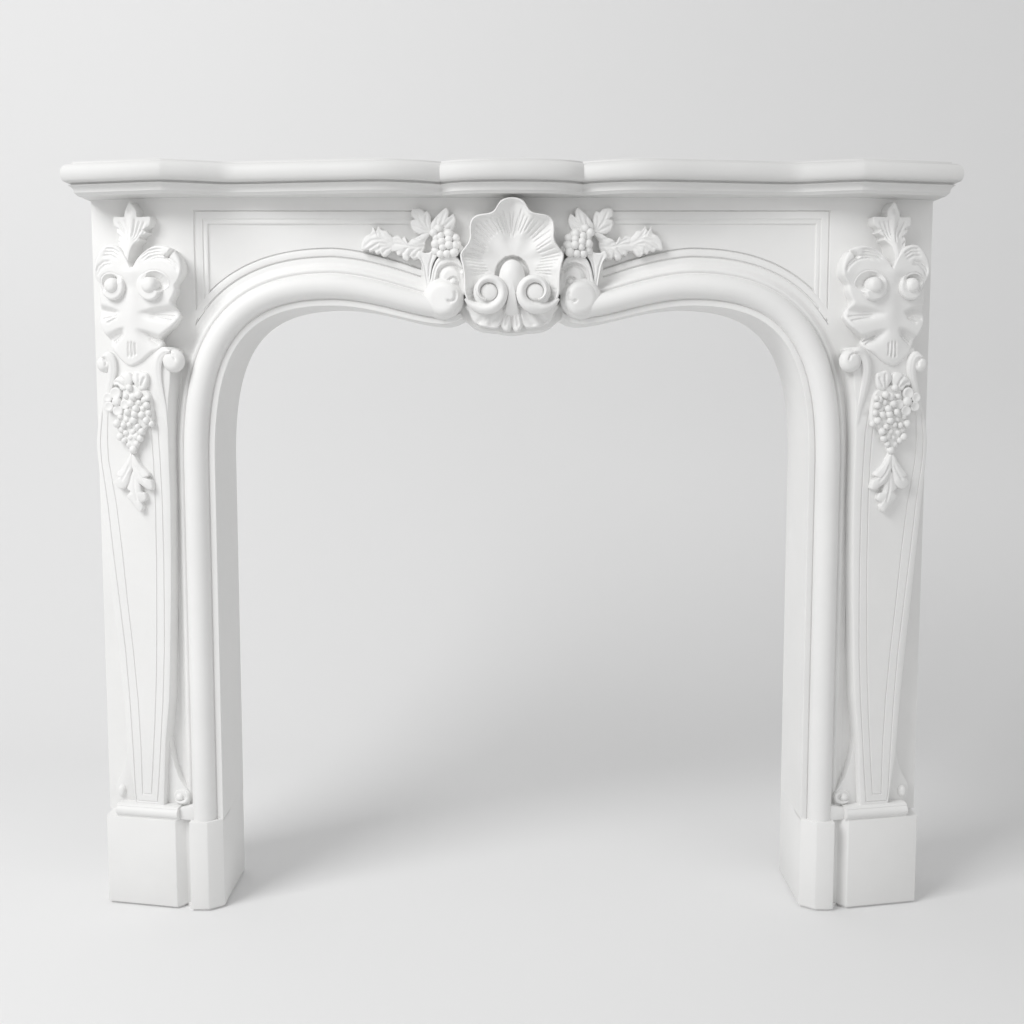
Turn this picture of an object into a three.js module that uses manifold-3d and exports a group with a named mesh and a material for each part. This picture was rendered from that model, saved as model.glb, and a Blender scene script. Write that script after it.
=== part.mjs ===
// Fireplace mantel, serpentine shelf on a carved surround. Millimetres, +Z up.
// X runs along the mantel, -Y faces the room, the back lies in one plane.
import * as THREE from "three";
import Module from "manifold-3d";

const wasm = await Module();
wasm.setup();

// Overall sizes
const HEIGHT = 1100;
const DEPTH = 196;
const BACK_Y = DEPTH / 2;
const JOINT = 0.3;
const FACET = 0.4;
const CARVING_FACET = 1.1;

// Opening, roll moulding and jambs, the jambs canted with the outer edge further back
const OPEN_HALF = 432.5;
const ROLL_WIDE = 57.5;
const CANT = 12.7 * Math.PI / 180;
const JAMB_WIDE = 130;
const JAMB_INNER = OPEN_HALF + ROLL_WIDE;
const JAMB_OUTER = JAMB_INNER + JAMB_WIDE * Math.cos(CANT);
const PLINTH_Z = 137;
const REVEAL_Q = DEPTH - 49;
const FRIEZE_Q = DEPTH - 70;

// Shelf: bed mould below, nosing above; plan as shares of the half width and setbacks
const SHELF_THICK = 47;
const BED_HIGH = 17;
const NOSING = 9;
const SHELF_REACH = 14.2;
const SHELF_HALF = JAMB_OUTER + SHELF_REACH;
const UNDER_SHELF = HEIGHT - SHELF_THICK;
const QUIRK_Z = UNDER_SHELF + BED_HIGH;
const SHELF_PLAN = [
  [1, 33], [0.77, 1], [0.72, 10], [0.68, 19], [0.64, 27], [0.595, 24],
  [0.507, 16], [0.42, 9], [0.357, 3], [0.307, 0], [0.261, 2], [0.206, 12], [0.16, 26],
  [0.135, 15], [0.108, 8], [0.071, 3], [0.035, 0.5], [0, 0],
].map(([share, setback]) => [SHELF_HALF * share, DEPTH - NOSING - setback]);

// Arch of the opening, measured down from the shelf
const CROWN = [OPEN_HALF * 0.6, UNDER_SHELF - 155.5];
const SPRING_Z = CROWN[1] - 231.5;
const DIP = [97, CROWN[1] - 26];
const JOINT_X = OPEN_HALF + ROLL_WIDE / 2;
const JOINT_Z = UNDER_SHELF - 168;

// Frames: whole front (x, z, q), frieze carving (x, drop, rise), jamb (s, z, n), jamb carving
const front = (x, z, q) => [x, BACK_Y - q, z];
const onFrieze = (x, drop, rise) => front(x, UNDER_SHELF - drop, FRIEZE_Q + rise);
const onJamb = (s, z, n) => [
  -JAMB_INNER - s * Math.cos(CANT) - n * Math.sin(CANT),
  BACK_Y - FRIEZE_Q + s * Math.sin(CANT) - n * Math.cos(CANT),
  z,
];
const hungOnJamb = (s, drop, n) => onJamb(s, UNDER_SHELF - drop, n);

// Solid from points and triangles, turned the right way out
function toSolid(points, faces) {
  let volume = 0;
  for (const [a, b, c] of faces) {
    const [p, q, r] = [points[a], points[b], points[c]];
    volume += p[0] * (q[1] * r[2] - q[2] * r[1])
      + p[1] * (q[2] * r[0] - q[0] * r[2])
      + p[2] * (q[0] * r[1] - q[1] * r[0]);
  }
  const ordered = volume > 0 ? faces : faces.map(([a, b, c]) => [a, c, b]);
  return new wasm.Manifold(new wasm.Mesh({
    numProp: 3,
    vertProperties: new Float32Array(points.flat()),
    triVerts: new Uint32Array(ordered.flat()),
  }));
}

function capFaces(shape) {
  const contour = shape.map(([a, b]) => new THREE.Vector2(a, b));
  return THREE.ShapeUtils.triangulateShape(contour, []);
}

// Skin over equal closed rings, flat caps at the ends, or one tip point last
function skin(rings, capStart, capEnd, tip = null) {
  const count = rings[0].length;
  const points = rings.flat();
  const faces = [];
  for (let k = 0; k + 1 < rings.length; k += 1) {
    for (let i = 0; i < count; i += 1) {
      const j = (i + 1) % count;
      const [a, b] = [k * count + i, k * count + j];
      faces.push([a, b, b + count], [a, b + count, a + count]);
    }
  }
  for (const [a, b, c] of capFaces(capStart)) faces.push(orient([c, b, a], capStart));
  const last = (rings.length - 1) * count;
  if (tip) {
    points.push(tip);
    for (let i = 0; i < count; i += 1) {
      faces.push([last + i, last + (i + 1) % count, points.length - 1]);
    }
  } else {
    for (const face of capFaces(capEnd)) {
      const [a, b, c] = orient(face, capEnd, true);
      faces.push([last + a, last + b, last + c]);
    }
  }
  return toSolid(points, faces);
}

// Cap triangles wound against or with the ring
function orient(face, shape, along = false) {
  const area = THREE.ShapeUtils.area(shape.map(([a, b]) => new THREE.Vector2(a, b)));
  const [a, b, c] = face.map((i) => shape[i]);
  const turn = (b[0] - a[0]) * (c[1] - a[1]) - (b[1] - a[1]) * (c[0] - a[0]);
  const same = Math.sign(turn) === Math.sign(area);
  return same === along ? face : [face[0], face[2], face[1]];
}

// Flat outline (a, b) raised from h0 to h1 in a frame
function prism(place, outline, h0, h1) {
  const ring = (h) => outline.map(([a, b]) => place(a, b, h));
  return skin([ring(h0), ring(h1)], outline, outline);
}

// Moulding profile (d, h) swept along a path of points with normals
function band(place, path, profile) {
  const rings = path.map(({ p, n, k = 1 }) =>
    profile.map(([d, h]) => place(p[0] + n[0] * d * k, p[1] + n[1] * d * k, h)));
  return skin(rings, profile, profile);
}

// Star-shaped carving: rings from the outline in to the centre, each at its height
function relief(place, centre, outline, base, levels, tip) {
  const ring = (f, height) => outline.map(([a, b], i) => {
    const h = typeof height === "function" ? height(i, outline.length) : height;
    return place(centre[0] + (a - centre[0]) * f, centre[1] + (b - centre[1]) * f, h);
  });
  const rings = [ring(1, base), ...levels.map(([f, h]) => ring(f, h))];
  return skin(rings, outline, outline, place(centre[0], centre[1], tip));
}

function circle(centre, radius, count, squash = 1) {
  return Array.from({ length: count }, (_, i) => {
    const t = 2 * Math.PI * i / count;
    return [centre[0] + radius * Math.cos(t), centre[1] + radius * squash * Math.sin(t)];
  });
}

// Rounded fruit standing out of the ground
function berry(place, [a, b], radius, base, top) {
  const rise = top - radius * 0.5;
  return relief(place, [a, b], circle([a, b], radius, 6), base, [[0.92, rise]], top);
}

// Round scroll end: rim, sunk ring and domed eye
function volute(place, centre, radius, base, top, eye = 0.52, count = 12) {
  return relief(place, centre, circle(centre, radius, count), base, [
    [1, top - radius * 0.3], [0.86, top], [eye + 0.12, top - radius * 0.5],
    [eye, top - radius * 0.1],
  ], top + radius * 0.1);
}

// Plain round knob with a soft edge
function knob(place, centre, radius, base, top) {
  return relief(place, centre, circle(centre, radius, 7), base,
    [[1, top - radius * 0.35], [0.7, top]], top + radius * 0.12);
}

// Leaf with pointed lobes along both sides and a raised middle
function leaf(place, from, to, width, base, edge, rib, lobes = 3) {
  const [dx, dz] = [to[0] - from[0], to[1] - from[1]];
  const at = (t, w) => [from[0] + dx * t - dz * w * width, from[1] + dz * t + dx * w * width];
  const side = [];
  for (let i = 0; i < lobes; i += 1) {
    const t = (i + 0.75) / (lobes + 0.6);
    const reach = Math.sin(Math.PI * Math.min(0.92, t * 0.85 + 0.12));
    side.push([t - 0.08, reach * 0.72], [t + 0.06, reach]);
  }
  const outline = [at(0, 0), ...side.map(([t, w]) => at(t, w)), at(1, 0),
    ...side.reverse().map(([t, w]) => at(t, -w))];
  return relief(place, at(0.5, 0), outline, base, [[1, edge]], rib);
}

function bezier(p0, p1, p2, p3, count) {
  return Array.from({ length: count + 1 }, (_, i) => {
    const t = i / count;
    const u = 1 - t;
    const mix = (k) => u ** 3 * p0[k] + 3 * u * u * t * p1[k] + 3 * u * t * t * p2[k] + t ** 3 * p3[k];
    return [mix(0), mix(1)];
  });
}

// Points with outward normals; the opening lies to the right of the path
function withNormals(points, shrink = () => 1) {
  return points.map((p, i) => {
    const a = points[Math.max(0, i - 1)];
    const b = points[Math.min(points.length - 1, i + 1)];
    const [dx, dz] = [b[0] - a[0], b[1] - a[1]];
    const length = Math.hypot(dx, dz);
    return { p, n: [-dz / length, dx / length], k: shrink(p) };
  });
}

function unite(solids) {
  return solids.reduce((whole, next) => whole.add(next));
}

const mirrorX = (outline) => outline.map(([x, z]) => [-x, z]).reverse();

// Shelf: plan outline at one moulding reach
function shelfOutline(reach) {
  const half = SHELF_PLAN.map(([x, q]) => [-x, q]);
  const line = [[-SHELF_HALF, 0], ...half, ...mirrorX(half.slice(0, -1)), [SHELF_HALF, 0]];
  return line.map(([x, q], i) => {
    if (i === 0 || i === line.length - 1) return [x + Math.sign(x) * reach, q];
    const a = line[i - 1];
    const b = line[i + 1];
    const unit = (from, to) => {
      const length = Math.hypot(to[0] - from[0], to[1] - from[1]);
      return [-(to[1] - from[1]) / length, (to[0] - from[0]) / length];
    };
    const [m, n] = [unit(a, line[i]), unit(line[i], b)];
    const scale = reach / (1 + m[0] * n[0] + m[1] * n[1]);
    return [x + (m[0] + n[0]) * scale, q + (m[1] + n[1]) * scale];
  });
}

function makeShelf() {
  const profile = [
    [-11, UNDER_SHELF + JOINT], [-9, UNDER_SHELF + 3], [-7, UNDER_SHELF + 5],
    [-2, QUIRK_Z - 4], [0, QUIRK_Z - 4], [0, QUIRK_Z],
    [NOSING * 0.7, QUIRK_Z + 3], [NOSING, QUIRK_Z + 12], [NOSING * 0.8, HEIGHT - 9],
    [0, HEIGHT - 3], [-3, HEIGHT - 3], [-4, HEIGHT],
  ];
  const rings = profile.map(([reach, z]) => shelfOutline(reach).map(([x, q]) => front(x, z, q)));
  return skin(rings, shelfOutline(profile[0][0]), shelfOutline(profile.at(-1)[0]));
}

// Opening edge, left half, from the spring over the crown down to the dip
const shoulderSpan = OPEN_HALF - CROWN[0];
const shoulder = bezier([-OPEN_HALF, SPRING_Z], [-OPEN_HALF, SPRING_Z + 180],
  [-CROWN[0] - shoulderSpan * 0.69, CROWN[1]], [-CROWN[0], CROWN[1]], 17);
const lowering = bezier([-CROWN[0], CROWN[1]], [-CROWN[0] + 62, CROWN[1]],
  [-DIP[0] - 45, DIP[1]], [-DIP[0], DIP[1]], 7).slice(1);
const archEdge = [...shoulder, ...lowering];
const splitAt = Math.round(shoulder.length * 0.5);

// Roll moulding: reach out from the opening edge, rise over the frieze ground
const moulding = [
  [0, -26], [0, 21], [8, 21], [10, 18], [15, 29.5], [23, 35],
  [33, 35], [41, 29.5], [46, 18], [47, 7], [55, 6], [59, 0], [60, -26],
].map(([d, rise]) => [d, FRIEZE_Q + rise]);
const narrowing = ([x]) => (x < -CROWN[0] ? 1 : 1 - 0.16 * (x + CROWN[0]) / (CROWN[0] - DIP[0]));

function spandrelOutline() {
  const apron = [[-84, 179.5], [-71, 173], [-58, 185], [-46, 189], [-30, 191], [-15, 192],
    [0, 194.5]].map(([x, drop]) => [x, UNDER_SHELF - drop]);
  const half = [[-JOINT_X + JOINT, UNDER_SHELF - JOINT], [-JOINT_X + JOINT, JOINT_Z],
    ...shoulder.slice(splitAt), ...lowering, ...apron];
  return [...half, ...mirrorX(half.slice(0, -1))];
}

// Joint across the roll moulding, from the panel corner through the opening edge
function jointEnd() {
  const [x, z] = shoulder[splitAt];
  return [x * 3 + JOINT_X * 2, z * 3 - JOINT_Z * 2];
}

// Straight-sided line along points, raised or cut
function line(place, points, half, h0, h1) {
  return band(place, withNormals(points), [[-half, h0], [-half, h1], [half, h1], [half, h0]]);
}

function offsetPath(points, distance) {
  return withNormals(points, narrowing).map(({ p, n, k }) =>
    [p[0] + n[0] * distance * k, p[1] + n[1] * distance * k]);
}

// Sunk panel and the fine grooves round it, left half
function frameCuts() {
  const panelX = JOINT_X - 23;
  const panelZ = UNDER_SHELF - 38;
  const grooveZ = UNDER_SHELF - 17;
  const vineX = 128;
  const arch = offsetPath(archEdge.slice(splitAt - 1), 72).filter(([x]) => x < -vineX);
  const field = offsetPath(archEdge.slice(splitAt), 84)
    .filter(([x]) => x > 1 - panelX && x < -vineX - 22);
  const panel = [[-panelX, panelZ], [-vineX - 22, panelZ], ...field.reverse()];
  panel.push([-panelX, field.at(-1)[1] - 3]);
  return [
    prism(front, panel, FRIEZE_Q - 4, FRIEZE_Q + 5),
    line(front, [[-JOINT_X - 2, grooveZ], [-vineX, grooveZ]], 1.8, FRIEZE_Q - 3, FRIEZE_Q + 5),
    line(front, arch, 1.8, FRIEZE_Q - 3, FRIEZE_Q + 5),
  ];
}

// Centre shell: wavy rim given as angle and radius, fluted dish and arched bead
const SHELL_HUB = 81;
function shellOutline(count) {
  const rim = [
    [90, 76], [68, 66], [58, 57], [45, 62], [34, 66], [22, 60], [8, 60], [-4, 72],
    [-18, 68], [-32, 68], [-48, 72], [-60, 72], [-72, 66], [-90, 78],
  ];
  const radius = (deg) => {
    const i = Math.max(1, rim.findIndex(([d]) => d <= deg));
    const [d0, r0] = rim[i - 1];
    const [d1, r1] = rim[i];
    return r0 + (r1 - r0) * (d0 - deg) / (d0 - d1);
  };
  return Array.from({ length: count }, (_, i) => {
    const t = 90 - 360 * i / count;
    const deg = Math.abs(t) <= 90 ? t : -180 - t;
    const a = t * Math.PI / 180;
    return [radius(deg) * Math.cos(a), SHELL_HUB - radius(deg) * Math.sin(a)];
  });
}

function centreShell() {
  const flute = (low, high) => (i) => (i % 2 ? low : high);
  const body = relief(onFrieze, [0, SHELL_HUB + 10], shellOutline(30), -26, [
    [1, 42], [0.95, flute(46, 50)], [0.72, flute(34, 41)], [0.5, 32],
  ], 34);
  const bead = relief(onFrieze, [0, 109], circle([0, 109], 18, 10, 1.25), -26,
    [[1, 34], [0.85, 42], [0.5, 48]], 50);
  const eyes = [-34, 34].map((x) => volute(onFrieze, [x, 136], 25, -26, 56, 0.55, 10));
  const apronLeaf = [-34, -12, 12, 34].map((x) => leaf(onFrieze, [x * 0.35, 148],
    [x * 1.25, 185 - Math.abs(x) * 0.12], 0.24, -26, 32, 42, 2));
  const apron = prism(onFrieze, [[-66, 148], [66, 148], [66, 169], [50, 185], [0, 192],
    [-50, 185], [-66, 169]], -26, 26);
  return [body, bead, ...eyes, ...apronLeaf, apron];
}

// Spray of vine beside the shell, with the scroll that ends the roll moulding
function spray() {
  const grapes = [
    [-109, 55], [-91, 53], [-101, 68], [-84, 67], [-94, 83], [-77, 80],
  ];
  const hook = bezier([-71, 138], [-68, 98], [-100, 78], [-107, 128], 8);
  return [
    ...grapes.map((g) => berry(onFrieze, g, 7, -16, 32)),
    prism(onFrieze, [[-114, 47], [-84, 45], [-68, 61], [-72, 83], [-92, 89], [-108, 81]], -16, 20),
    leaf(onFrieze, [-122, 53], [-134, 13], 0.42, -16, 8, 14, 2),
    leaf(onFrieze, [-104, 53], [-92, 15], 0.42, -16, 10, 18, 2),
    leaf(onFrieze, [-124, 71], [-172, 65], 0.3, -16, 8, 20, 3),
    leaf(onFrieze, [-166, 65], [-220, 71], 0.36, -16, 8, 20, 3),
    prism(onFrieze, [[-136, 79], [-110, 77], [-116, 105], [-121, 131], [-127, 118]], -16, 18),
    prism(onFrieze, [[-118, 148], [-60, 148], [-66, 103], [-80, 87], [-104, 91], [-112, 113]],
      -16, 16),
    line(onFrieze, hook, 5, -16, 26),
    volute(onFrieze, [-98, 147], 25, -16, 45, 0.3, 10),
    berry(onFrieze, [-90, 110], 12, -16, 30),
  ];
}

function makeFrieze() {
  const body = prism(front, spandrelOutline(), 0, FRIEZE_Q);
  const arch = withNormals(archEdge, narrowing).slice(splitAt - 1);
  const left = unite([band(front, arch, moulding), unite(spray()).simplify(CARVING_FACET)]);
  const grooves = unite(frameCuts());
  const cut = body.subtract(grooves).subtract(grooves.mirror([1, 0, 0]));
  const whole = unite([cut, left, left.mirror([1, 0, 0]), unite(centreShell()).simplify(CARVING_FACET)]);
  return whole.intersect(friezeZone());
}

// Space kept by the frieze: between the two joints and under the shelf
function friezeZone() {
  const left = [[-JOINT_X + JOINT, UNDER_SHELF - JOINT], [-JOINT_X + JOINT, JOINT_Z], jointEnd()];
  return prism(front, [...left, ...mirrorX(left)], -1, DEPTH * 2);
}

// Console: stations up the jamb with inner and outer edge and rise
function consoleFace() {
  const top = UNDER_SHELF - PLINTH_Z;
  const stations = [
    [0.015, 29, 71, 26], [0.032, 27, 72, 25], [0.082, 24, 82, 25], [0.132, 21, 86, 25],
    [0.2, 13, 88, 25], [0.265, 10, 93, 25], [0.364, 6, 101, 25], [0.428, 4, 106, 26],
    [0.524, 2, 112, 27], [0.62, 2, 117, 29], [0.669, 0, 118, 32], [0.724, -4, 112, 35],
    [0.762, 0, 104, 35],
  ];
  const rings = stations.map(([share, inner, outer, n]) => {
    const z = PLINTH_Z + top * share;
    return [onJamb(inner, z, -12), onJamb(inner, z, n), onJamb(outer, z, n), onJamb(outer, z, -12)];
  });
  const cap = [[0, 0], [0, 1], [1, 1], [1, 0]];
  return skin(rings, cap, cap);
}

// Foot of the console on the plinth: torus bar, scroll knobs and flares
function consoleFoot() {
  const onPlinth = (s, up, n) => onJamb(s, PLINTH_Z + up, n);
  return [
    knob(onPlinth, [94, 32], 10, -10, 27),
    knob(onPlinth, [6, 32], 12, -10, 27),
    prism(onPlinth, [[86, 113], [88, 78], [95, 53], [106, 37], [100, 13], [70, 13], [70, 113]],
      -10, 20),
    prism(onPlinth, [[22, 113], [18, 78], [10, 58], [-6, 41], [-4, 13], [30, 13], [30, 113]],
      -10, 20),
    band(onPlinth, [{ p: [-4, -1], n: [0, 1] }, { p: [102, -1], n: [0, 1] }],
      [[0, -10], [0, 27], [4, 32], [10, 34], [16, 32], [20, 27], [22, -10]]),
  ];
}

// Shell at the top of the jamb, with two scroll eyes and scalloped lobes
function cornerShell() {
  const outline = [
    [46, 99], [60, 83], [78, 72], [94, 79], [106, 107], [101, 135], [106, 164], [94, 193],
    [89, 208], [80, 221], [63, 239], [48, 244], [36, 239], [14, 219], [8, 209], [6, 197],
    [-8, 188], [-17, 168], [-11, 149], [-18, 123], [-23, 107], [-16, 85], [6, 72], [32, 83],
  ];
  const lift = (i) => (i % 3 === 1 ? 4 : 0);
  return [
    relief(hungOnJamb, [46, 163], outline, -10, [
      [1, (i) => 30 + lift(i) * 0.5], [0.9, (i) => 36 + lift(i)], [0.5, (i) => 38 + lift(i)],
    ], 44),
    volute(hungOnJamb, [76, 125], 20, 0, 48, 0.52, 8),
    volute(hungOnJamb, [17, 128], 22, 0, 48, 0.52, 8),
  ];
}

function jambCarving() {
  const grapes = [
    [50, 277], [34, 285], [43, 299], [59, 303], [32, 309], [50, 319], [67, 322], [56, 337],
    [50, 353],
  ];
  const cluster = [[62, 269], [30, 277], [20, 297], [24, 313], [40, 333], [46, 359], [54, 365],
    [62, 349], [72, 325], [68, 303]];
  const bloom = [76, 293];
  const flower = circle(bloom, 16, 10).map(([s, drop], i) =>
    (i % 2 ? [s, drop] : [s - (s - bloom[0]) * 0.38, drop - (drop - bloom[1]) * 0.38]));
  return [
    ...grapes.map((g) => berry(hungOnJamb, g, 7.2, 0, 46)),
    prism(hungOnJamb, cluster, 0, 36),
    relief(hungOnJamb, bloom, flower, 0, [[1, 36], [0.8, 41], [0.35, 38]], 42),
    leaf(hungOnJamb, [62, 257], [40, 275], 0.4, 0, 36, 42, 2),
    leaf(hungOnJamb, [55, 371], [78, 413], 0.26, 0, 31, 38, 2),
    leaf(hungOnJamb, [53, 371], [30, 415], 0.26, 0, 31, 38, 2),
    leaf(hungOnJamb, [54, 393], [50, 449], 0.3, 0, 32, 39, 2),
    leaf(hungOnJamb, [54, 95], [54, 7], 0.34, -10, 17, 24, 4),
    volute(hungOnJamb, [98, 238], 19, 0, 40, 0.5, 8),
    volute(hungOnJamb, [-9, 235], 19, -10, 42, 0.5, 8),
    ...cornerShell(),
    ...consoleFoot(),
  ];
}

// Jamb ground, the web behind the roll moulding and the plinth blocks
function jambBody() {
  const start = PLINTH_Z - 20;
  const corner = onJamb(JAMB_WIDE, 0, 0);
  const outer = [corner[0], BACK_Y - corner[1]];
  const standing = (x, q, z) => front(x, z, q);
  const ground = prism(standing, [[outer[0], 0], outer, [-JAMB_INNER, FRIEZE_Q],
    [-JOINT_X, FRIEZE_Q], [-JOINT_X, 0]], start, UNDER_SHELF);
  const web = prism(front, [[-JOINT_X - 1, start], [-OPEN_HALF, start],
    ...shoulder.slice(0, splitAt + 1), [-JOINT_X - 1, JOINT_Z + 1]], 0, FRIEZE_Q);
  const block = JAMB_OUTER - 4.3;
  const plinth = prism(standing, [[-block, 0], [-block, REVEAL_Q - 16],
    [-JAMB_INNER - 12.5, REVEAL_Q + 9], [-JAMB_INNER, REVEAL_Q - 5],
    [-JAMB_INNER + 10, REVEAL_Q - 5], [-JAMB_INNER + 10, REVEAL_Q + 17],
    [-OPEN_HALF - 20.5, REVEAL_Q + 17], [-OPEN_HALF, REVEAL_Q + 0.5], [-OPEN_HALF, 0]],
  0, PLINTH_Z);
  return unite([ground, web, plinth]);
}

function makeJamb() {
  const path = withNormals([[-OPEN_HALF, PLINTH_Z - 2], [-OPEN_HALF, SPRING_Z * 0.95],
    ...shoulder.slice(0, splitAt + 2)]);
  const roll = band(front, path, moulding);
  const [endX, endZ] = jointEnd();
  const zone = prism(front, [[-JAMB_OUTER * 1.2, -1], [endX, -1], [endX, endZ - JOINT],
    [-JOINT_X, JOINT_Z], [-JOINT_X, UNDER_SHELF], [-JAMB_OUTER * 1.2, UNDER_SHELF]],
  -1, DEPTH * 2);
  const carving = unite(jambCarving()).simplify(CARVING_FACET);
  return unite([jambBody(), roll, consoleFace(), carving]).intersect(zone);
}

function toMesh(name, solid) {
  const { vertProperties, triVerts, numProp } = solid.simplify(FACET).getMesh();
  const geometry = new THREE.BufferGeometry();
  const positions = new Float32Array(vertProperties.length / numProp * 3);
  for (let i = 0; i < positions.length / 3; i += 1) {
    for (let k = 0; k < 3; k += 1) positions[i * 3 + k] = vertProperties[i * numProp + k];
  }
  geometry.setAttribute("position", new THREE.BufferAttribute(positions, 3));
  geometry.setIndex(new THREE.BufferAttribute(new Uint32Array(triVerts), 1));
  geometry.computeVertexNormals();
  const mesh = new THREE.Mesh(geometry, new THREE.MeshStandardMaterial({
    color: 0xf2f1ee, roughness: 0.6, metalness: 0,
  }));
  mesh.name = name;
  return mesh;
}

const leftJamb = makeJamb();
const group = new THREE.Group();
group.add(toMesh("mantel_shelf", makeShelf()));
group.add(toMesh("frieze", makeFrieze()));
group.add(toMesh("left_jamb", leftJamb));
group.add(toMesh("right_jamb", leftJamb.mirror([1, 0, 0])));

export default group;
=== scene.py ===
import math

import bmesh
import bpy
from mathutils import Matrix, Vector


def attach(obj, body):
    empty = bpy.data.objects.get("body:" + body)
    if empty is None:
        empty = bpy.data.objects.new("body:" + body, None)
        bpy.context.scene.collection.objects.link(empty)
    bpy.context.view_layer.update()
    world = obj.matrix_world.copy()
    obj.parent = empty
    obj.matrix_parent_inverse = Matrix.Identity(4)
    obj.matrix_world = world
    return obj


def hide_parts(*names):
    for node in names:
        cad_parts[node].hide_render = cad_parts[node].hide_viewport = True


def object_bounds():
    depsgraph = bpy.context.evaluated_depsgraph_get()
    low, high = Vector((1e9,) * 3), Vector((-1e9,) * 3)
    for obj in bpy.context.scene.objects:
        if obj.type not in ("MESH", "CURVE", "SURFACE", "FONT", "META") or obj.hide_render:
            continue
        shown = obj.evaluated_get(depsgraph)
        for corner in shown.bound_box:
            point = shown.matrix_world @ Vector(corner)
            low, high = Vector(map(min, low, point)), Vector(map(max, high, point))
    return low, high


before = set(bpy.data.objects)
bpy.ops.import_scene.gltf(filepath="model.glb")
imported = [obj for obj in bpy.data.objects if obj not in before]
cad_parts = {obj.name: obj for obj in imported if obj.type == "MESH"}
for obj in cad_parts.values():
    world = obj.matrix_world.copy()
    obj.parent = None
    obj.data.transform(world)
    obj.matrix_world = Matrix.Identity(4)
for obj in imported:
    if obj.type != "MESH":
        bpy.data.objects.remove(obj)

bl_info = {
    "name": "Carved Fireplace Mantel",
    "version": (1, 0, 0),
    "blender": (4, 5, 0),
    "location": "View3D > Sidebar > Mantel",
    "description": "Builds a white stone mantel with a serpentine shelf and carved jambs",
    "category": "Add Mesh",
}

CAD_BOX = [list(corner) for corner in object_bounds()]
MM = 0.001

# Distances between faces and joints, in millimetres
FRIEZE_BACK = 70          # front of the nosing to the face of the frieze
REVEAL_BACK = 49          # front of the nosing to the face of the inner plinth block
MOULDING_WIDE = 57.5      # side of the opening to the inner corner of the canted ground
SHELF_OVERHANG = 14.2     # outer corner of the jamb to the end of the quirk
QUIRK_BACK = 9            # front of the nosing to the quirk under it
CORNER_IN = 4.3           # outer corner of the jamb to the side of its plinth block
WEB_BACK = 26             # face of the frieze to the core behind the roll moulding
CROWN_SHARE = 0.6         # place of each crown of the arch, as a share of the half opening
CROWN_DROP = 155.5        # underside of the shelf to the crowns
SPRING_DROP = 231.5       # crown to the spring of the arch
DIP_PLACE = 97.0          # middle to the end of the roll moulding beside the shell
DIP_DROP = 26             # crown to the lowest point of the roll moulding beside the shell
JOINT_DROP = 168          # underside of the shelf to the joint across the roll moulding


# Settings shown in the sidebar

class MantelSizes(bpy.types.PropertyGroup):
    """Main sizes of the mantel"""

    height: bpy.props.FloatProperty(
        name="Height", description="Floor to the top of the shelf",
        default=CAD_BOX[1][2], unit="LENGTH")
    depth: bpy.props.FloatProperty(
        name="Depth", description="Wall to the front of the nosing",
        default=0.196, unit="LENGTH")
    opening_half: bpy.props.FloatProperty(
        name="Half opening", description="Middle of the mantel to the side of the opening",
        default=0.4325, unit="LENGTH")
    cant: bpy.props.FloatProperty(
        name="Cant", description="Angle by which each jamb turns outwards",
        default=math.radians(12.7), subtype="ANGLE")
    jamb_wide: bpy.props.FloatProperty(
        name="Jamb width", description="Canted ground, measured along the cant",
        default=0.130, unit="LENGTH")
    plinth_high: bpy.props.FloatProperty(
        name="Plinth height", description="Floor to the top of the plinth blocks",
        default=0.137, unit="LENGTH")
    shelf_thick: bpy.props.FloatProperty(
        name="Shelf thickness", description="Bed mould and nosing together",
        default=0.047, unit="LENGTH")


class CarvingSizes(bpy.types.PropertyGroup):
    """Depths and counts of the carving"""

    grape: bpy.props.FloatProperty(
        name="Grape radius", description="Radius of one grape",
        default=0.0068, unit="LENGTH")
    groove: bpy.props.FloatProperty(
        name="Groove depth", description="Depth of the incised lines",
        default=0.0014, unit="LENGTH")
    flute: bpy.props.FloatProperty(
        name="Flute depth", description="Depth of the fine flutes of the shells",
        default=0.0016, unit="LENGTH")


class StoneFinish(bpy.types.PropertyGroup):
    """Look of the white stone"""

    colour: bpy.props.FloatVectorProperty(
        name="Colour", description="Main colour of the stone",
        default=(0.82, 0.818, 0.81), subtype="COLOR", size=3)
    # Painted shade: the shelf is the same stone as the rest, darkened by this factor so its nosing and bed
    # mould look shaded
    shelf: bpy.props.FloatProperty(
        name="Shelf tone", description="Brightness of the shelf beside the carved stone",
        default=0.86, subtype="FACTOR", min=0.0, max=1.0)
    cloud: bpy.props.FloatProperty(
        name="Clouding", description="Strength of the soft mottling",
        default=0.35, subtype="FACTOR", min=0.0, max=1.0)
    grain: bpy.props.FloatProperty(
        name="Grain", description="Strength of the fine surface grain",
        default=0.12, subtype="FACTOR", min=0.0, max=1.0)


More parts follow.
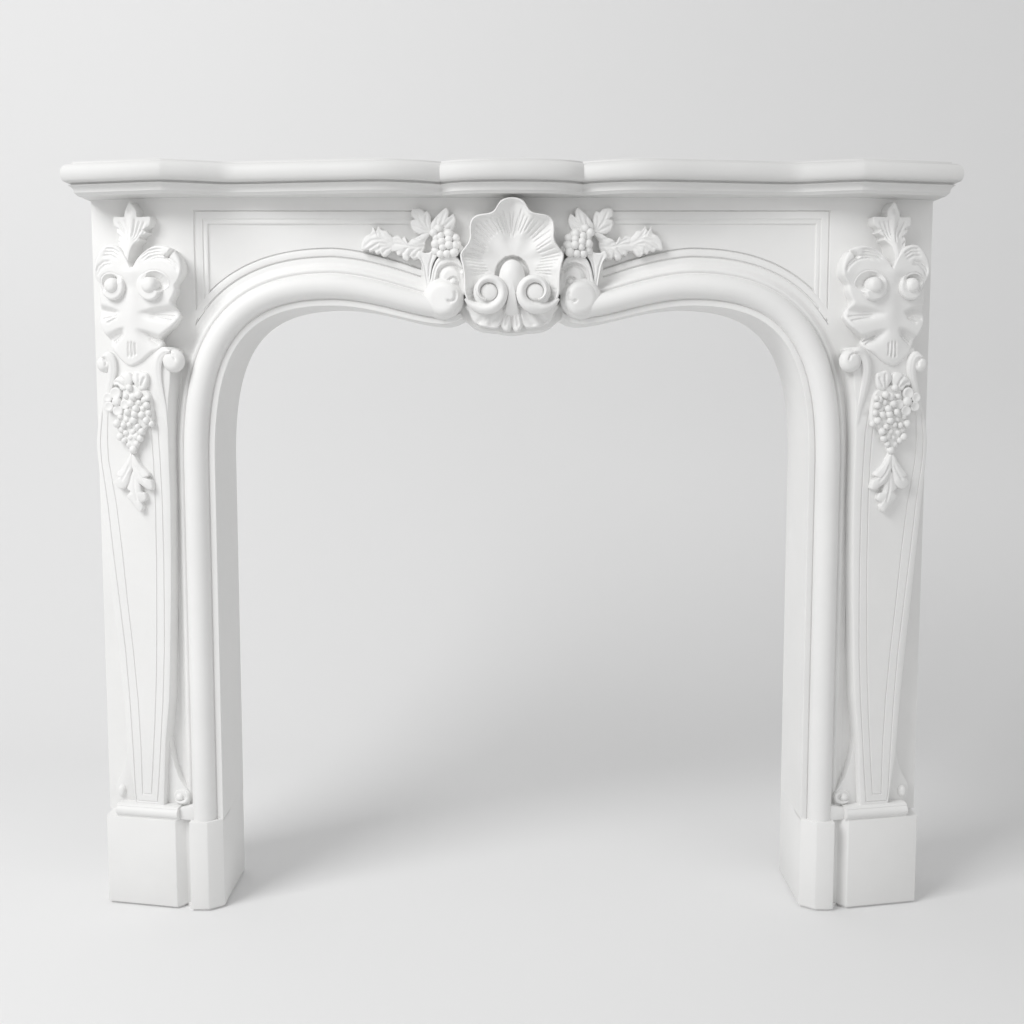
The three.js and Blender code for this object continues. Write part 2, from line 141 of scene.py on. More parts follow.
class StageLook(bpy.types.PropertyGroup):
    """Floor and light around the mantel"""

    floor: bpy.props.FloatVectorProperty(
        name="Floor", description="Colour of the floor and backdrop",
        default=(0.80, 0.80, 0.80), subtype="COLOR", size=3)
    key: bpy.props.FloatProperty(
        name="Key light", description="Power of the large light on the left",
        default=88.0, unit="POWER")
    fill: bpy.props.FloatProperty(
        name="Fill light", description="Power of the light on the right, as a share of the key light",
        default=0.15, subtype="FACTOR", min=0.0, max=1.0)
    sky: bpy.props.FloatProperty(
        name="Sky", description="Strength of the even light from all sides",
        default=0.5, min=0.0)
    lens: bpy.props.FloatProperty(
        name="Lens", description="Focal length of the camera",
        default=46.37, unit="CAMERA")
    distance: bpy.props.FloatProperty(
        name="Distance", description="Middle of the mantel to the camera",
        default=1.968, unit="LENGTH")
    eye_height: bpy.props.FloatProperty(
        name="Eye height", description="Floor to the camera",
        default=0.797, unit="LENGTH")
    pitch: bpy.props.FloatProperty(
        name="Pitch", description="Angle by which the camera looks down",
        default=math.radians(5.886), subtype="ANGLE")


# Places on the mantel, in millimetres

class Layout:
    """Derived sizes and the frames that carving is placed in"""

    def __init__(self, scene):
        sizes = scene.mantel_sizes
        self.carving = scene.mantel_carving
        self.depth = sizes.depth / MM
        self.open_half = sizes.opening_half / MM
        self.cant = sizes.cant
        self.jamb_wide = sizes.jamb_wide / MM
        self.plinth = sizes.plinth_high / MM
        self.back = self.depth / 2
        self.frieze_q = self.depth - FRIEZE_BACK
        self.reveal_q = self.depth - REVEAL_BACK
        self.jamb_inner = self.open_half + MOULDING_WIDE
        self.jamb_outer = self.jamb_inner + self.jamb_wide * math.cos(self.cant)
        self.shelf_half = self.jamb_outer + SHELF_OVERHANG
        self.under = sizes.height / MM - sizes.shelf_thick / MM
        self.joint_x = self.open_half + MOULDING_WIDE / 2
        self.joint_z = self.under - JOINT_DROP
        self.crown = (self.open_half * CROWN_SHARE, self.under - CROWN_DROP)
        self.spring = self.crown[1] - SPRING_DROP
        self.dip = (DIP_PLACE, self.crown[1] - DIP_DROP)

    def front(self, x, z, q):
        """Point at x, at height z, and at q in front of the wall"""
        return Vector((x, self.back - q, z)) * MM

    def on_frieze(self, x, drop, rise):
        """Point at a drop below the shelf that stands proud of the frieze by rise"""
        return self.front(x, self.under - drop, self.frieze_q + rise)

    def on_jamb(self, s, z, n):
        """Point at s outwards along the canted face and proud of it by n, on the left jamb"""
        return Vector((
            -self.jamb_inner - s * math.cos(self.cant) - n * math.sin(self.cant),
            self.back - self.frieze_q + s * math.sin(self.cant) - n * math.cos(self.cant),
            z)) * MM

    def hung(self, s, drop, n):
        """Point on the left jamb at a drop below the shelf"""
        return self.on_jamb(s, self.under - drop, n)

    def standing(self, x, q, z):
        """Point of a plan raised to z"""
        return self.front(x, z, q)


# Curves in the plane

def blend(table, at):
    """Value of a table of (position, value) rows, straight between two of them"""
    if at <= table[0][0]:
        return table[0][1]
    for (p0, v0), (p1, v1) in zip(table, table[1:]):
        if at <= p1:
            t = (at - p0) / (p1 - p0)
            return v0 + (v1 - v0) * t
    return table[-1][1]


def bezier(p0, p1, p2, p3, count):
    """Cubic curve from p0 to p3"""
    points = []
    for i in range(count + 1):
        t = i / count
        u = 1 - t
        points.append(tuple(
            u ** 3 * a + 3 * u * u * t * b + 3 * u * t * t * c + t ** 3 * d
            for a, b, c, d in zip(p0, p1, p2, p3)))
    return points


def spline(points, steps, closed=False):
    """Smooth curve through the points, with steps stretches between two of them"""
    count = len(points)
    spans = count if closed else count - 1
    curve = []
    for k in range(spans):
        p1, p2 = points[k], points[(k + 1) % count]
        p0 = points[(k - 1) % count] if closed or k else p1
        p3 = points[(k + 2) % count] if closed or k + 2 < count else p2
        for i in range(steps):
            t = i / steps
            curve.append(tuple(
                0.5 * (2 * b + (c - a) * t + (2 * a - 5 * b + 4 * c - d) * t * t
                       + (3 * b - a - 3 * c + d) * t ** 3)
                for a, b, c, d in zip(p0, p1, p2, p3)))
    if not closed:
        curve.append(tuple(points[-1]))
    return curve


def normals_of(points, closed=False):
    """Left-hand unit normals of a line of points"""
    found = []
    last = len(points) - 1
    for i in range(len(points)):
        a = points[(i - 1) % len(points)] if closed else points[max(0, i - 1)]
        b = points[(i + 1) % len(points)] if closed else points[min(last, i + 1)]
        dx, dz = b[0] - a[0], b[1] - a[1]
        length = math.hypot(dx, dz) or 1.0
        found.append((-dz / length, dx / length))
    return found


def turned_over(points):
    """Points of the left side carried over to the right, in the opposite order"""
    return [(-x, z) for x, z in reversed(points)]


def circle(centre, radius, count, squash=1.0):
    """Ring of points, flattened by squash"""
    return [(centre[0] + radius * math.cos(2 * math.pi * i / count),
             centre[1] + radius * squash * math.sin(2 * math.pi * i / count))
            for i in range(count)]


def rounded(edge, radius):
    """Drop of a rounded arris at a distance in from the edge"""
    if edge >= radius:
        return 0.0
    return radius - math.sqrt(max(0.0, radius ** 2 - (radius - edge) ** 2))


def notch(distance, half):
    """Depth factor of a V groove with a soft bottom"""
    return max(0.0, 1 - (distance / half) ** 2)


def step(value):
    """Smooth run from 0 to 1"""
    value = max(0.0, min(1.0, value))
    return value * value * (3 - 2 * value)


def reach_to(p, line):
    """Distance from a point to a line of points, and the share along the line"""
    best = (1e9, 0.0)
    for k in range(len(line) - 1):
        (ax, az), (bx, bz) = line[k], line[k + 1]
        dx, dz = bx - ax, bz - az
        t = max(0.0, min(1.0, ((p[0] - ax) * dx + (p[1] - az) * dz) / (dx * dx + dz * dz)))
        away = math.hypot(p[0] - ax - dx * t, p[1] - az - dz * t)
        if away < best[0]:
            best = (away, (k + t) / (len(line) - 1))
    return best


def cuts(p, lines, half, depth):
    """Depth of the deepest V groove of a set of lines, fading at their ends"""
    deepest = 0.0
    for line in lines:
        away, t = reach_to(p, line)
        if away < half:
            ends = step(min(t, 1 - t) * 6 + 0.25)
            deepest = max(deepest, depth * (1 - away / half) ** 0.8 * ends)
    return deepest


def hollow(p, line, half, depth):
    """Soft trough along a line, deepest at its far end"""
    away, t = reach_to(p, line)
    return depth * math.exp(-(away / half) ** 2) * (0.35 + 0.65 * t)


def scoop(p, start, end, half, depth):
    """Trough that opens from start to end and is steeper on its upper side"""
    dx, dz = end[0] - start[0], end[1] - start[1]
    length = math.hypot(dx, dz)
    along = ((p[0] - start[0]) * dx + (p[1] - start[1]) * dz) / length ** 2
    across = ((p[0] - start[0]) * dz - (p[1] - start[1]) * dx) / length
    if dx > 0:
        across = -across
    wide = half * (0.4 + 0.6 * max(0.0, min(1.2, along))) * (0.6 if across < 0 else 1.15)
    return depth * step(along * 1.8 + 0.15) * math.exp(-(across / wide) ** 2)


# Mesh makers

def patch(bm, across, along, place):
    """Grid whose points are put in place by column and row; closed seams are merged"""
    made = bmesh.ops.create_grid(bm, x_segments=across, y_segments=along, size=1.0)
    for v in made["verts"]:
        v.co = place(round((v.co.x + 1) / 2 * across), round((v.co.y + 1) / 2 * along))
    bmesh.ops.remove_doubles(bm, verts=made["verts"], dist=2e-6)


def close_holes(bm):
    """Caps on the open ends of swept bands"""
    edges = [e for e in bm.edges if e.is_boundary]
    if edges:
        bmesh.ops.holes_fill(bm, edges=edges, sides=0)


def slab(bm, place, outline, low, high, bevel=0.0):
    """Outline raised from low to high, its edges softened"""
    verts = [bm.verts.new(place(a, b, low)) for a, b in outline]
    face = bm.faces.new(verts)
    raised = bmesh.ops.extrude_face_region(bm, geom=[face])
    top = [g for g in raised["geom"] if isinstance(g, bmesh.types.BMVert)]
    bmesh.ops.translate(bm, verts=top, vec=place(0, 0, high) - place(0, 0, low))
    if bevel:
        every = set(verts) | set(top)
        edges = [e for e in bm.edges if e.verts[0] in every and e.verts[1] in every
                 and e.calc_face_angle(0.0) > 0.35]
        bmesh.ops.bevel(bm, geom=edges, offset=bevel * MM, segments=2, profile=0.5,
                        affect="EDGES", material=-1)


def sweep(bm, place, points, profile, normals=None, scale=None):
    """Closed profile (reach, rise) carried along a line of points"""
    normals = normals or normals_of(points)
    count = len(profile)

    def at(i, j):
        (a, b), (na, nb) = points[j], normals[j]
        reach, rise = profile[i % count]
        k = scale[j] if scale else 1.0
        return place(a + na * reach * k, b + nb * reach * k, rise)

    patch(bm, count, len(points) - 1, at)
    close_holes(bm)


def relief(bm, place, outline, centre, base, top, rings=20, arris=3.0, foot=None):
    """Carved shape with a plain wall, a rounded arris and a worked face"""
    count = len(outline)
    steps = [1 - (k / rings) ** 1.4 for k in range(rings + 1)]
    foot = foot or (lambda a, b: (a, b))

    def at(i, j):
        a, b = outline[i % count]
        if j < 2:
            a, b = foot(a, b)
            return place(centre[0] + (a - centre[0]) * j, centre[1] + (b - centre[1]) * j, base)
        f = steps[j - 2]
        edge = (1 - f) * math.hypot(a - centre[0], b - centre[1])
        a = centre[0] + (a - centre[0]) * f
        b = centre[1] + (b - centre[1]) * f
        return place(a, b, top(a, b, f, (i % count) / count) - rounded(edge, arris))

    patch(bm, count, rings + 2, at)


def blade(bm, place, spine, width, base, rise, across=10):
    """Band along a spine; width(t) is half its breadth, rise(t, v) its face"""
    base = base if callable(base) else lambda t, fixed=base: fixed
    sides = normals_of(spine)
    last = len(spine) - 1

    def at(i, j):
        t = j / last
        i %= across + 3
        v = -1.0 if i == 0 else 1.0 if i == across + 2 else -1 + 2 * (i - 1) / across
        n = base(t) if i in (0, across + 2) else rise(t, v)
        reach = width(t) * v
        return place(spine[j][0] + sides[j][0] * reach, spine[j][1] + sides[j][1] * reach, n)

    patch(bm, across + 3, last, at)
    close_holes(bm)


def button(bm, place, centre, radius, sides, base, top, dome, rings, arris, squash=1.0):
    """Round boss whose face falls by dome towards its edge"""
    relief(bm, place, circle(centre, radius, sides, squash), centre, base,
           lambda a, b, f, t: top - dome * f * f, rings=rings, arris=arris)


def ball(bm, place, a, b, height, radius):
    """Grape or small bead with its centre at the given height"""
    made = bmesh.ops.create_uvsphere(bm, u_segments=16, v_segments=10, radius=radius * MM)
    bmesh.ops.translate(bm, verts=made["verts"], vec=place(a, b, height))


def make_piece(bm, name, slot, covers=(), mirrored=False, sharp=38.0):
    """Mesh object of a finished bmesh, riding on the mantel"""
    if mirrored:
        bmesh.ops.scale(bm, verts=bm.verts, vec=(-1.0, 1.0, 1.0))
    bmesh.ops.recalc_face_normals(bm, faces=bm.faces)
    mesh = bpy.data.meshes.new(name)
    bm.to_mesh(mesh)
    bm.free()
    mesh.shade_smooth()
    mesh.set_sharp_from_angle(angle=math.radians(sharp))
    piece = bpy.data.objects.new(name, mesh)
    bpy.context.scene.collection.objects.link(piece)
    mesh.materials.append(stone_material(slot))
    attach(piece, "root")
    for node in covers:
        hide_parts(node)


# Stone

def finish_group():
    """Node group: soft clouding of the colour and fine grain for the surface"""
    group = bpy.data.node_groups.get("StoneSurface")
    if group:
        return group
    group = bpy.data.node_groups.new("StoneSurface", "ShaderNodeTree")
    sockets = group.interface
    sockets.new_socket(name="Colour", in_out="INPUT", socket_type="NodeSocketColor")
    sockets.new_socket(name="Clouding", in_out="INPUT", socket_type="NodeSocketFloat")
    sockets.new_socket(name="Colour", in_out="OUTPUT", socket_type="NodeSocketColor")
    sockets.new_socket(name="Roughness", in_out="OUTPUT", socket_type="NodeSocketFloat")
    sockets.new_socket(name="Grain", in_out="OUTPUT", socket_type="NodeSocketFloat")
    nodes, links = group.nodes, group.links
    given = nodes.new("NodeGroupInput")
    out = nodes.new("NodeGroupOutput")
    where = nodes.new("ShaderNodeTexCoord")
    cloud = nodes.new("ShaderNodeTexNoise")
    cloud.inputs["Scale"].default_value = 7.0
    cloud.inputs["Detail"].default_value = 6.0
    cloud.inputs["Roughness"].default_value = 0.6
    fine = nodes.new("ShaderNodeTexNoise")
    fine.inputs["Scale"].default_value = 420.0
    fine.inputs["Detail"].default_value = 3.0
    spread = nodes.new("ShaderNodeMapRange")
    spread.inputs["From Min"].default_value = 0.35
    spread.inputs["From Max"].default_value = 0.65
    spread.inputs["To Min"].default_value = 0.93
    spread.inputs["To Max"].default_value = 1.03
    strength = nodes.new("ShaderNodeMix")
    strength.data_type = "FLOAT"
    strength.inputs["A"].default_value = 1.0
    tint = nodes.new("ShaderNodeVectorMath")
    tint.operation = "SCALE"
    rough = nodes.new("ShaderNodeMapRange")
    rough.inputs["From Min"].default_value = 0.3
    rough.inputs["From Max"].default_value = 0.7
    rough.inputs["To Min"].default_value = 0.48
    rough.inputs["To Max"].default_value = 0.66
    links.new(where.outputs["Object"], cloud.inputs["Vector"])
    links.new(where.outputs["Object"], fine.inputs["Vector"])
    links.new(cloud.outputs["Fac"], spread.inputs["Value"])
    links.new(given.outputs["Clouding"], strength.inputs["Factor"])
    links.new(spread.outputs["Result"], strength.inputs["B"])
    links.new(given.outputs["Colour"], tint.inputs[0])
    links.new(strength.outputs["Result"], tint.inputs["Scale"])
    links.new(cloud.outputs["Fac"], rough.inputs["Value"])
    links.new(tint.outputs["Vector"], out.inputs["Colour"])
    links.new(rough.outputs["Result"], out.inputs["Roughness"])
    links.new(fine.outputs["Fac"], out.inputs["Grain"])
    return group


def stone_material(slot):
    """White honed stone of one slot, darkened for the shelf slot as painted shade"""
    name = "honed_" + slot
    material = bpy.data.materials.get(name)
    if material:
        return material
    look = bpy.context.scene.mantel_stone
    material = bpy.data.materials.new(name)
    material.use_nodes = True
    nodes, links = material.node_tree.nodes, material.node_tree.links
    shader = nodes["Principled BSDF"]
    surface = nodes.new("ShaderNodeGroup")
    surface.node_tree = finish_group()
    # Painted shade: the shelf slot takes the stone colour darkened by the shelf factor, standing in for the
    # shade on its nosing
    painted_shade = look.shelf if slot == "shelf_stone" else 1.0
    surface.inputs["Colour"].default_value = (*(channel * painted_shade for channel in look.colour), 1.0)
    surface.inputs["Clouding"].default_value = look.cloud
    bump = nodes.new("ShaderNodeBump")
    bump.inputs["Strength"].default_value = look.grain
    bump.inputs["Distance"].default_value = 0.0004
    links.new(surface.outputs["Colour"], shader.inputs["Base Color"])
    links.new(surface.outputs["Roughness"], shader.inputs["Roughness"])
    links.new(surface.outputs["Grain"], bump.inputs["Height"])
    links.new(bump.outputs["Normal"], shader.inputs["Normal"])
    return material


# Shelf

def shelf_plan(lay):
    """Front line of the quirk from the left end to the right, corners kept sharp"""
    front = lay.depth - QUIRK_BACK
    share = lambda rows: [(-lay.shelf_half * x, front - back) for x, back in rows]
    wave = spline(share([(0.781, 1), (0.724, 10.5), (0.68, 19.5), (0.64, 26.5), (0.595, 25),
                         (0.507, 16.5), (0.42, 9), (0.357, 3), (0.307, 0), (0.261, 2), (0.206, 12),
                         (0.16, 26)]), 6)
    bow = spline(share([(0.16, 26), (0.135, 15), (0.108, 8), (0.071, 3), (0.035, 0.5), (0, 0)]), 5)
    left = share([(1, 33)]) + wave[:-1] + bow
    return left + turned_over(left[:-1])


def offset_open(points, reach):
    """Line moved out by reach, its corners mitred"""
    moved = []
    for i, (x, q) in enumerate(points):
        units = []
        for a, b in ((i - 1, i), (i, i + 1)):
            if a < 0 or b >= len(points):
                continue
            dx, dq = points[b][0] - points[a][0], points[b][1] - points[a][1]
            length = math.hypot(dx, dq)
            units.append((-dq / length, dx / length))
        if len(units) == 1:
            units.append(units[0])
        (m0, m1), (n0, n1) = units
        k = reach / (1 + m0 * n0 + m1 * n1)
        moved.append((x + (m0 + n0) * k, q + (m1 + n1) * k))
    return moved


# Bed mould, quirk and nosing, as (reach past the quirk line, height above the underside)
SHELF_PROFILE = [
    (-10, 0), (-9.6, 0.8), (-6.6, 3.4), (-6.1, 3.9), (-6.0, 7.4), (-5.4, 8.6), (-4.0, 10.6), (-2.0, 12.4),
    (-0.4, 13.2), (0, 13.6), (-0.4, 14.2), (-3.2, 14.5), (-3.2, 16.9), (0.3, 17.2), (3.6, 17.8),
    (5.2, 18.5), (7.2, 21.0), (8.4, 24.5), (8.8, 29.0), (8.3, 34.0), (6.8, 38.0), (4.4, 41.0),
    (1.2, 43.0), (-2.6, 43.8), (-4.8, 44.0), (-5.4, 44.4), (-5.6, 46.2), (-6.2, 46.9), (-8.0, 47.0),
]


def make_shelf(bm, lay):
    """Shelf whose profile runs round the front and both ends, with a plain back"""
    quirk = shelf_plan(lay)
    loop = [(quirk[0][0], 0.0)] + quirk + [(quirk[-1][0], 0.0)]
    rings = [offset_open(loop, reach) for reach, _ in SHELF_PROFILE]
    for ring in rings:
        ring[0] = (ring[0][0], 0.0)
        ring[-1] = (ring[-1][0], 0.0)

    def at(i, j):
        x, q = rings[j][i % len(loop)]
        return lay.front(x, lay.under + SHELF_PROFILE[j][1], q)

    patch(bm, len(loop), len(rings) - 1, at)
    close_holes(bm)


# Arch of the opening

def arch_line(lay):
    """Edge of the opening from the spring to the dip beside the shell"""
    span = lay.open_half - lay.crown[0]
    shoulder = bezier((-lay.open_half, lay.spring), (-lay.open_half, lay.spring + 180),
                      (-lay.crown[0] - span * 0.69, lay.crown[1]), (-lay.crown[0], lay.crown[1]), 68)
    lowering = bezier((-lay.crown[0], lay.crown[1]), (-lay.crown[0] + 62, lay.crown[1]),
                      (-lay.dip[0] - 45, lay.dip[1]), (-lay.dip[0], lay.dip[1]), 36)
    return shoulder, lowering[1:]


# Point of the shoulder curve at the joint between frieze and jamb
SPLIT = 36
# Outer band of the moulding with its groove, as (reach from the opening, rise above the frieze)
BAND = [(68.6, -0.4), (69.8, -0.8), (71.0, -3.2), (72.2, -3.2), (73.2, -0.3), (74.4, 0), (80.8, 0),
        (81.8, -0.6), (83.5, -6.2), (84.8, -6.8), (86.4, -4.6), (87, -8), (87, -26)]


def moulding_profile(lay, outer):
    """Roll moulding from the opening edge out to the ground, as (reach, q)"""
    roll = [(28 - 17.6 * math.cos(math.pi * k / 20), 18 + 17.2 * math.sin(math.pi * k / 20))
            for k in range(1, 20)]
    fillet = [(0, -WEB_BACK), (0, 20.4), (0.6, 21), (7.4, 21), (8.2, 20.6), (9.0, 19.2), (9.8, 18.8)]
    bead = [(45.8, 14), (46.2, 10.6), (46.8, 9.2), (48.0, 9.0), (48.8, 9.8), (50.0, 10.6), (51.6, 10.8),
            (53.2, 10.2), (54.8, 8.6), (56.6, 6.0), (58.6, 3.2), (60.6, 1.2), (62.6, 0.2), (64.0, -0.2)]
    rows = fillet + roll + bead + outer
    return [(reach, lay.frieze_q + rise) for reach, rise in rows]


def narrowing(lay, points):
    """Scale of the moulding, which narrows from the crown to the scroll beside the shell"""
    reach = lay.crown[0] - lay.dip[0]
    return [1.0 if x < -lay.crown[0] else 1 - 0.16 * (x + lay.crown[0]) / reach for x, _ in points]


# Frieze

PANEL_SUNK = 4.5


def frieze_ground(bm, lay):
    """Core behind the moulding, sunk panels, the band above them and the block behind the shell"""
    shoulder, lowering = arch_line(lay)
    core = lay.frieze_q - WEB_BACK
    apron = [(-84, 179.0), (-77, 175.5), (-71, 173), (-65, 178), (-58, 184), (-46, 189), (-30, 191),
             (-22, 191), (-12, 193.5), (0, 194.5)]
    half = [(-lay.joint_x, lay.under), (-lay.joint_x, lay.joint_z)]
    half += shoulder[SPLIT:] + lowering + [(x, lay.under - drop) for x, drop in apron]
    slab(bm, lay.front, half + turned_over(half[:-1]), 0, core)

    edge = shoulder + lowering
    inset = [(x + nx * 85 * k, z + nz * 85 * k) for (x, z), (nx, nz), k
             in zip(edge, normals_of(edge), narrowing(lay, edge))][SPLIT - 12:]
    inset = [p for p in inset if p[0] > -lay.joint_x]
    half = [half[0], (-lay.joint_x, inset[0][1])] + inset + [(-60, lay.under - 150), (0, lay.under - 150)]
    slab(bm, lay.front, half + turned_over(half[:-1]), core, lay.frieze_q - PANEL_SUNK)

    top = [(-lay.joint_x, 0), (lay.joint_x, 0), (lay.joint_x, 17.5), (-lay.joint_x, 17.5)]
    slab(bm, lay.on_frieze, top, -PANEL_SUNK, 0)
    middle = [(-132, 17.5), (132, 17.5), (132, 120), (90, 165),
              (50, 185), (-50, 185), (-90, 165), (-132, 120)]
    slab(bm, lay.on_frieze, middle, -24, -0.6)

    drip = [(-104, 181.8), (-97, 181.5), (-90, 180.6)] + apron
    drip = [(x, lay.under - drop) for x, drop in drip]
    block = [(-104, lay.under - 150)] + drip + turned_over(drip[:-1]) + [(104, lay.under - 150)]
    slab(bm, lay.front, block, core, lay.frieze_q + 10)
    lip = [(-97, 181.5), (-93, 181.2), (-89, 180.3), (-84, 178.8), (-79, 176.6), (-75, 174.6), (-71, 173)]
    lip = [(x, lay.under - drop) for x, drop in lip]
    fillet = [(0, -WEB_BACK), (0, 20.4), (0.6, 21), (6.0, 21), (7.6, 20.2), (8.6, 17),
              (13, 15), (15, 8), (15, -WEB_BACK)]
    for side in (-1, 1):
        place = lambda x, z, rise: lay.front(-side * x, z, lay.frieze_q + rise)
        sweep(bm, place, lip, fillet)


def panel_frame(bm, lay):
    """Moulded frame along the top and the outer side of each panel"""
    profile = [(-0.6, -8), (-0.6, -0.2), (0.4, -0.3), (1.6, -2.4), (2.4, -2.4), (3.6, -0.3),
               (12.4, -0.2), (13.2, -0.6), (13.8, -1.9), (14.6, -2.0), (15.4, -1.5), (19.4, -1.5),
               (20.2, -2.0), (21.2, -4.2), (22, -6), (22, -8)]
    path = [(-130, 16.4), (-lay.joint_x, 16.4), (-lay.joint_x, 180)]
    mitres = [(0, 1), (1, 1), (1, -1.32)]
    for side in (-1, 1):
        place = lambda x, drop, rise: lay.on_frieze(side * -x, drop, rise)
        sweep(bm, place, path, profile, normals=mitres)


def arch_moulding(bm, lay, side):
    """Roll moulding from the joint with the jamb to the scroll beside the shell"""
    shoulder, lowering = arch_line(lay)
    points = shoulder[SPLIT:] + lowering
    normals = normals_of(shoulder + lowering)[SPLIT:]
    place = lambda x, z, q: lay.front(side * x, z, q)
    sweep(bm, place, points, moulding_profile(lay, BAND), normals, narrowing(lay, points))


def roll_end(bm, lay, side):
    """Scroll that ends the roll moulding beside the shell"""
    place = lambda x, drop, rise: lay.on_frieze(side * x, drop, rise)
    centre = (-99.0, 145.5)
    mark = [[(-82, 136), (-80, 142), (-82, 148), (-88, 151), (-93, 148)]]

    def face(a, b, f, t):
        return 35.5 + 7.0 * step((a + 124) / 40) - cuts((a, b), mark, 3.0, 3.6)

    button(bm, place, centre, 30, 72, -16, 34, 0, rings=20, arris=15)
    relief(bm, place, circle(centre, 25, 72), centre, 10, face, rings=30, arris=11)


# Left half of the centre shell, as (place, drop below the shelf)
SHELL_RIM = [
    (0, 5), (-8, 6), (-16, 10), (-20.5, 16), (-25, 23), (-31, 26.6), (-39, 28), (-48, 29.4), (-55, 33),
    (-59, 40), (-60, 50), (-59.5, 60), (-62, 68), (-68, 76), (-73, 83), (-73, 91), (-70.5, 100),
    (-68.5, 114), (-68, 128), (-67.5, 138), (-64, 148), (-56, 156), (-46, 160), (-34, 158), (-22, 150),
    (-12, 142), (0, 139),
]
SHELL_FLUTES = [
    [(-14, 20), (-5, 55)], [(-10, 30), (-2, 58)], [(-23, 32), (-12, 55)], [(-18, 28), (-9, 52)],
    [(-31, 32), (-17, 52)], [(-38, 36), (-21, 55)], [(-46, 38), (-25, 59)], [(-52, 42), (-29, 62)],
    [(-56, 50), (-32, 66)], [(-57, 59), (-35, 74)], [(-57, 66), (-35, 78)], [(-62, 74), (-38, 82)],
    [(-71, 80), (-42, 87)], [(-72, 86), (-40, 91)], [(-68, 92), (-40, 95)], [(-64, 97), (-36, 100)],
    [(-60, 102), (-34, 104)], [(-57, 108), (-33, 107)], [(-57, 113), (-37, 110)], [(-3, 24), (0, 54)],
    [(-64, 134), (-50, 130)], [(-64, 141), (-50, 136)], [(-62, 148), (-50, 142)],
]
SHELL_HOLLOWS = [[(0, 60), (0, 14)], [(-26, 62), (-53, 38)], [(-42, 88), (-70, 84)],
                 [(-52, 118), (-53, 148)]]
SHELL_RIDGES = [[(-12, 58), (-27, 30)], [(-36, 76), (-58, 64)], [(-40, 100), (-68, 103)]]


def centre_shell(bm, lay):
    """Dished shell with a wavy rim, fine flutes and an arched hollow round a bead"""
    outline = spline(SHELL_RIM + turned_over(SHELL_RIM[1:]), 8, True)
    flute = lay.carving.flute / MM

    def face(a, b, f, t):
        p = (-abs(a), b)
        height = 29 + 19 * f ** 2.4
        height -= sum(hollow(p, line, 9.5, 5.0) for line in SHELL_HOLLOWS[:3])
        height -= hollow(p, SHELL_HOLLOWS[3], 8.0, 9.0)
        height += sum(hollow(p, line, 6.5, 2.2) for line in SHELL_RIDGES)
        if f > 0.35:
            height -= cuts(p, SHELL_FLUTES, 1.9, flute * 1.25)
        height += 3.4 * math.exp(-((f - 0.97) / 0.025) ** 2)
        high = 21 if b < 113 else 44
        round_bead = math.hypot(a / 18.5, (b - 113) / high)
        if b < 128:
            height -= 10.0 * step((1.36 - round_bead) / 0.1) * step((128 - b) / 16)
        return height

    relief(bm, lay.on_frieze, outline, (0, 94), -16, face, rings=60, arris=2.2)
    half = [(0, 91), (-7, 93), (-13, 98.5), (-17, 107), (-18.5, 117), (-16, 130), (-11, 142),
            (-8, 154), (-9, 170)]
    bead = spline(half + turned_over(half[1:]), 6, True)
    relief(bm, lay.on_frieze, bead, (0, 116), -10,
           lambda a, b, f, t: 53 - 13 * f ** 2.6 - 0.10 * max(0.0, b - 122), rings=26, arris=3)


def shell_scrolls(bm, lay):
    """Volutes under the shell, each a band that winds from the rim into its eye"""
    reaches = [(-165, 34.5), (-150, 30.8), (-125, 25.6), (-90, 22.6), (-45, 20.8), (0, 20.2), (45, 19.8),
               (90, 18.8), (135, 17.2), (180, 15.2), (225, 12.8), (250, 11.6)]
    breadths = [(-165, 2.2), (-150, 4.2), (-125, 6.8), (-90, 7.8), (-45, 7.4), (0, 6.8), (45, 6.2),
                (90, 5.6), (135, 4.4), (180, 3.1), (225, 2.1), (250, 1.5)]
    centre = (-33.0, 137.5)
    count = 110
    turns = [165 - 415 * k / count for k in range(count + 1)]
    widths = [blend(breadths, -turn) for turn in turns]
    spine = []
    for turn in turns:
        radius = blend(reaches, -turn)
        spine.append((centre[0] + radius * math.cos(math.radians(turn)),
                      centre[1] + radius * math.sin(math.radians(turn))))
    for side in (-1, 1):
        place = lambda x, drop, rise: lay.on_frieze(side * x, drop, rise)
        button(bm, place, centre, 22, 64, -10, 46.5, 0, rings=6, arris=3)
        blade(bm, place, spine, lambda t: widths[round(t * count)], 10,
              lambda t, v: 48 + 9 * step(t * 4) - (3.6 + 2.6 * step(t * 4)) * v * v, across=12)
        button(bm, place, centre, 12.2, 48, 10, 53, 2.0, rings=14, arris=3.6)


def shell_apron(bm, lay):
    """Small acanthus leaf that hangs below the shell"""
    half = [(-40, 136), (-66, 154), (-62, 165), (-57, 176), (-50, 182), (-43, 185), (-35, 186.5),
            (-26, 188), (-20, 187), (-16.5, 183), (-13.5, 188.5), (-8, 192.5), (-3, 191.5), (0, 186)]
    outline = spline(half + turned_over(half[:-1]), 7, True)
    veins = [[(0, 158), (0, 190)], [(-5, 160), (-9, 186)], [(-9, 156), (-16.5, 186)]]
    folds = [[(-14, 158), (-30, 182)], [(-24, 160), (-46, 178)]]

    def face(a, b, f, t):
        p = (-abs(a), b)
        swell = 5.0 * math.exp(-((abs(a) - 8.5) / 6.5) ** 2) * step((b - 150) / 25)
        side = 4.0 * math.exp(-((abs(a) - 33) / 13) ** 2) * step((b - 155) / 20)
        height = 34 + swell + side - 0.0026 * a * a
        height -= cuts(p, veins, 2.6, 3.0)
        height -= sum(hollow(p, fold, 4.5, 4.0) for fold in folds)
        return height

    relief(bm, lay.on_frieze, outline, (0, 160), -16, face, rings=36, arris=4)


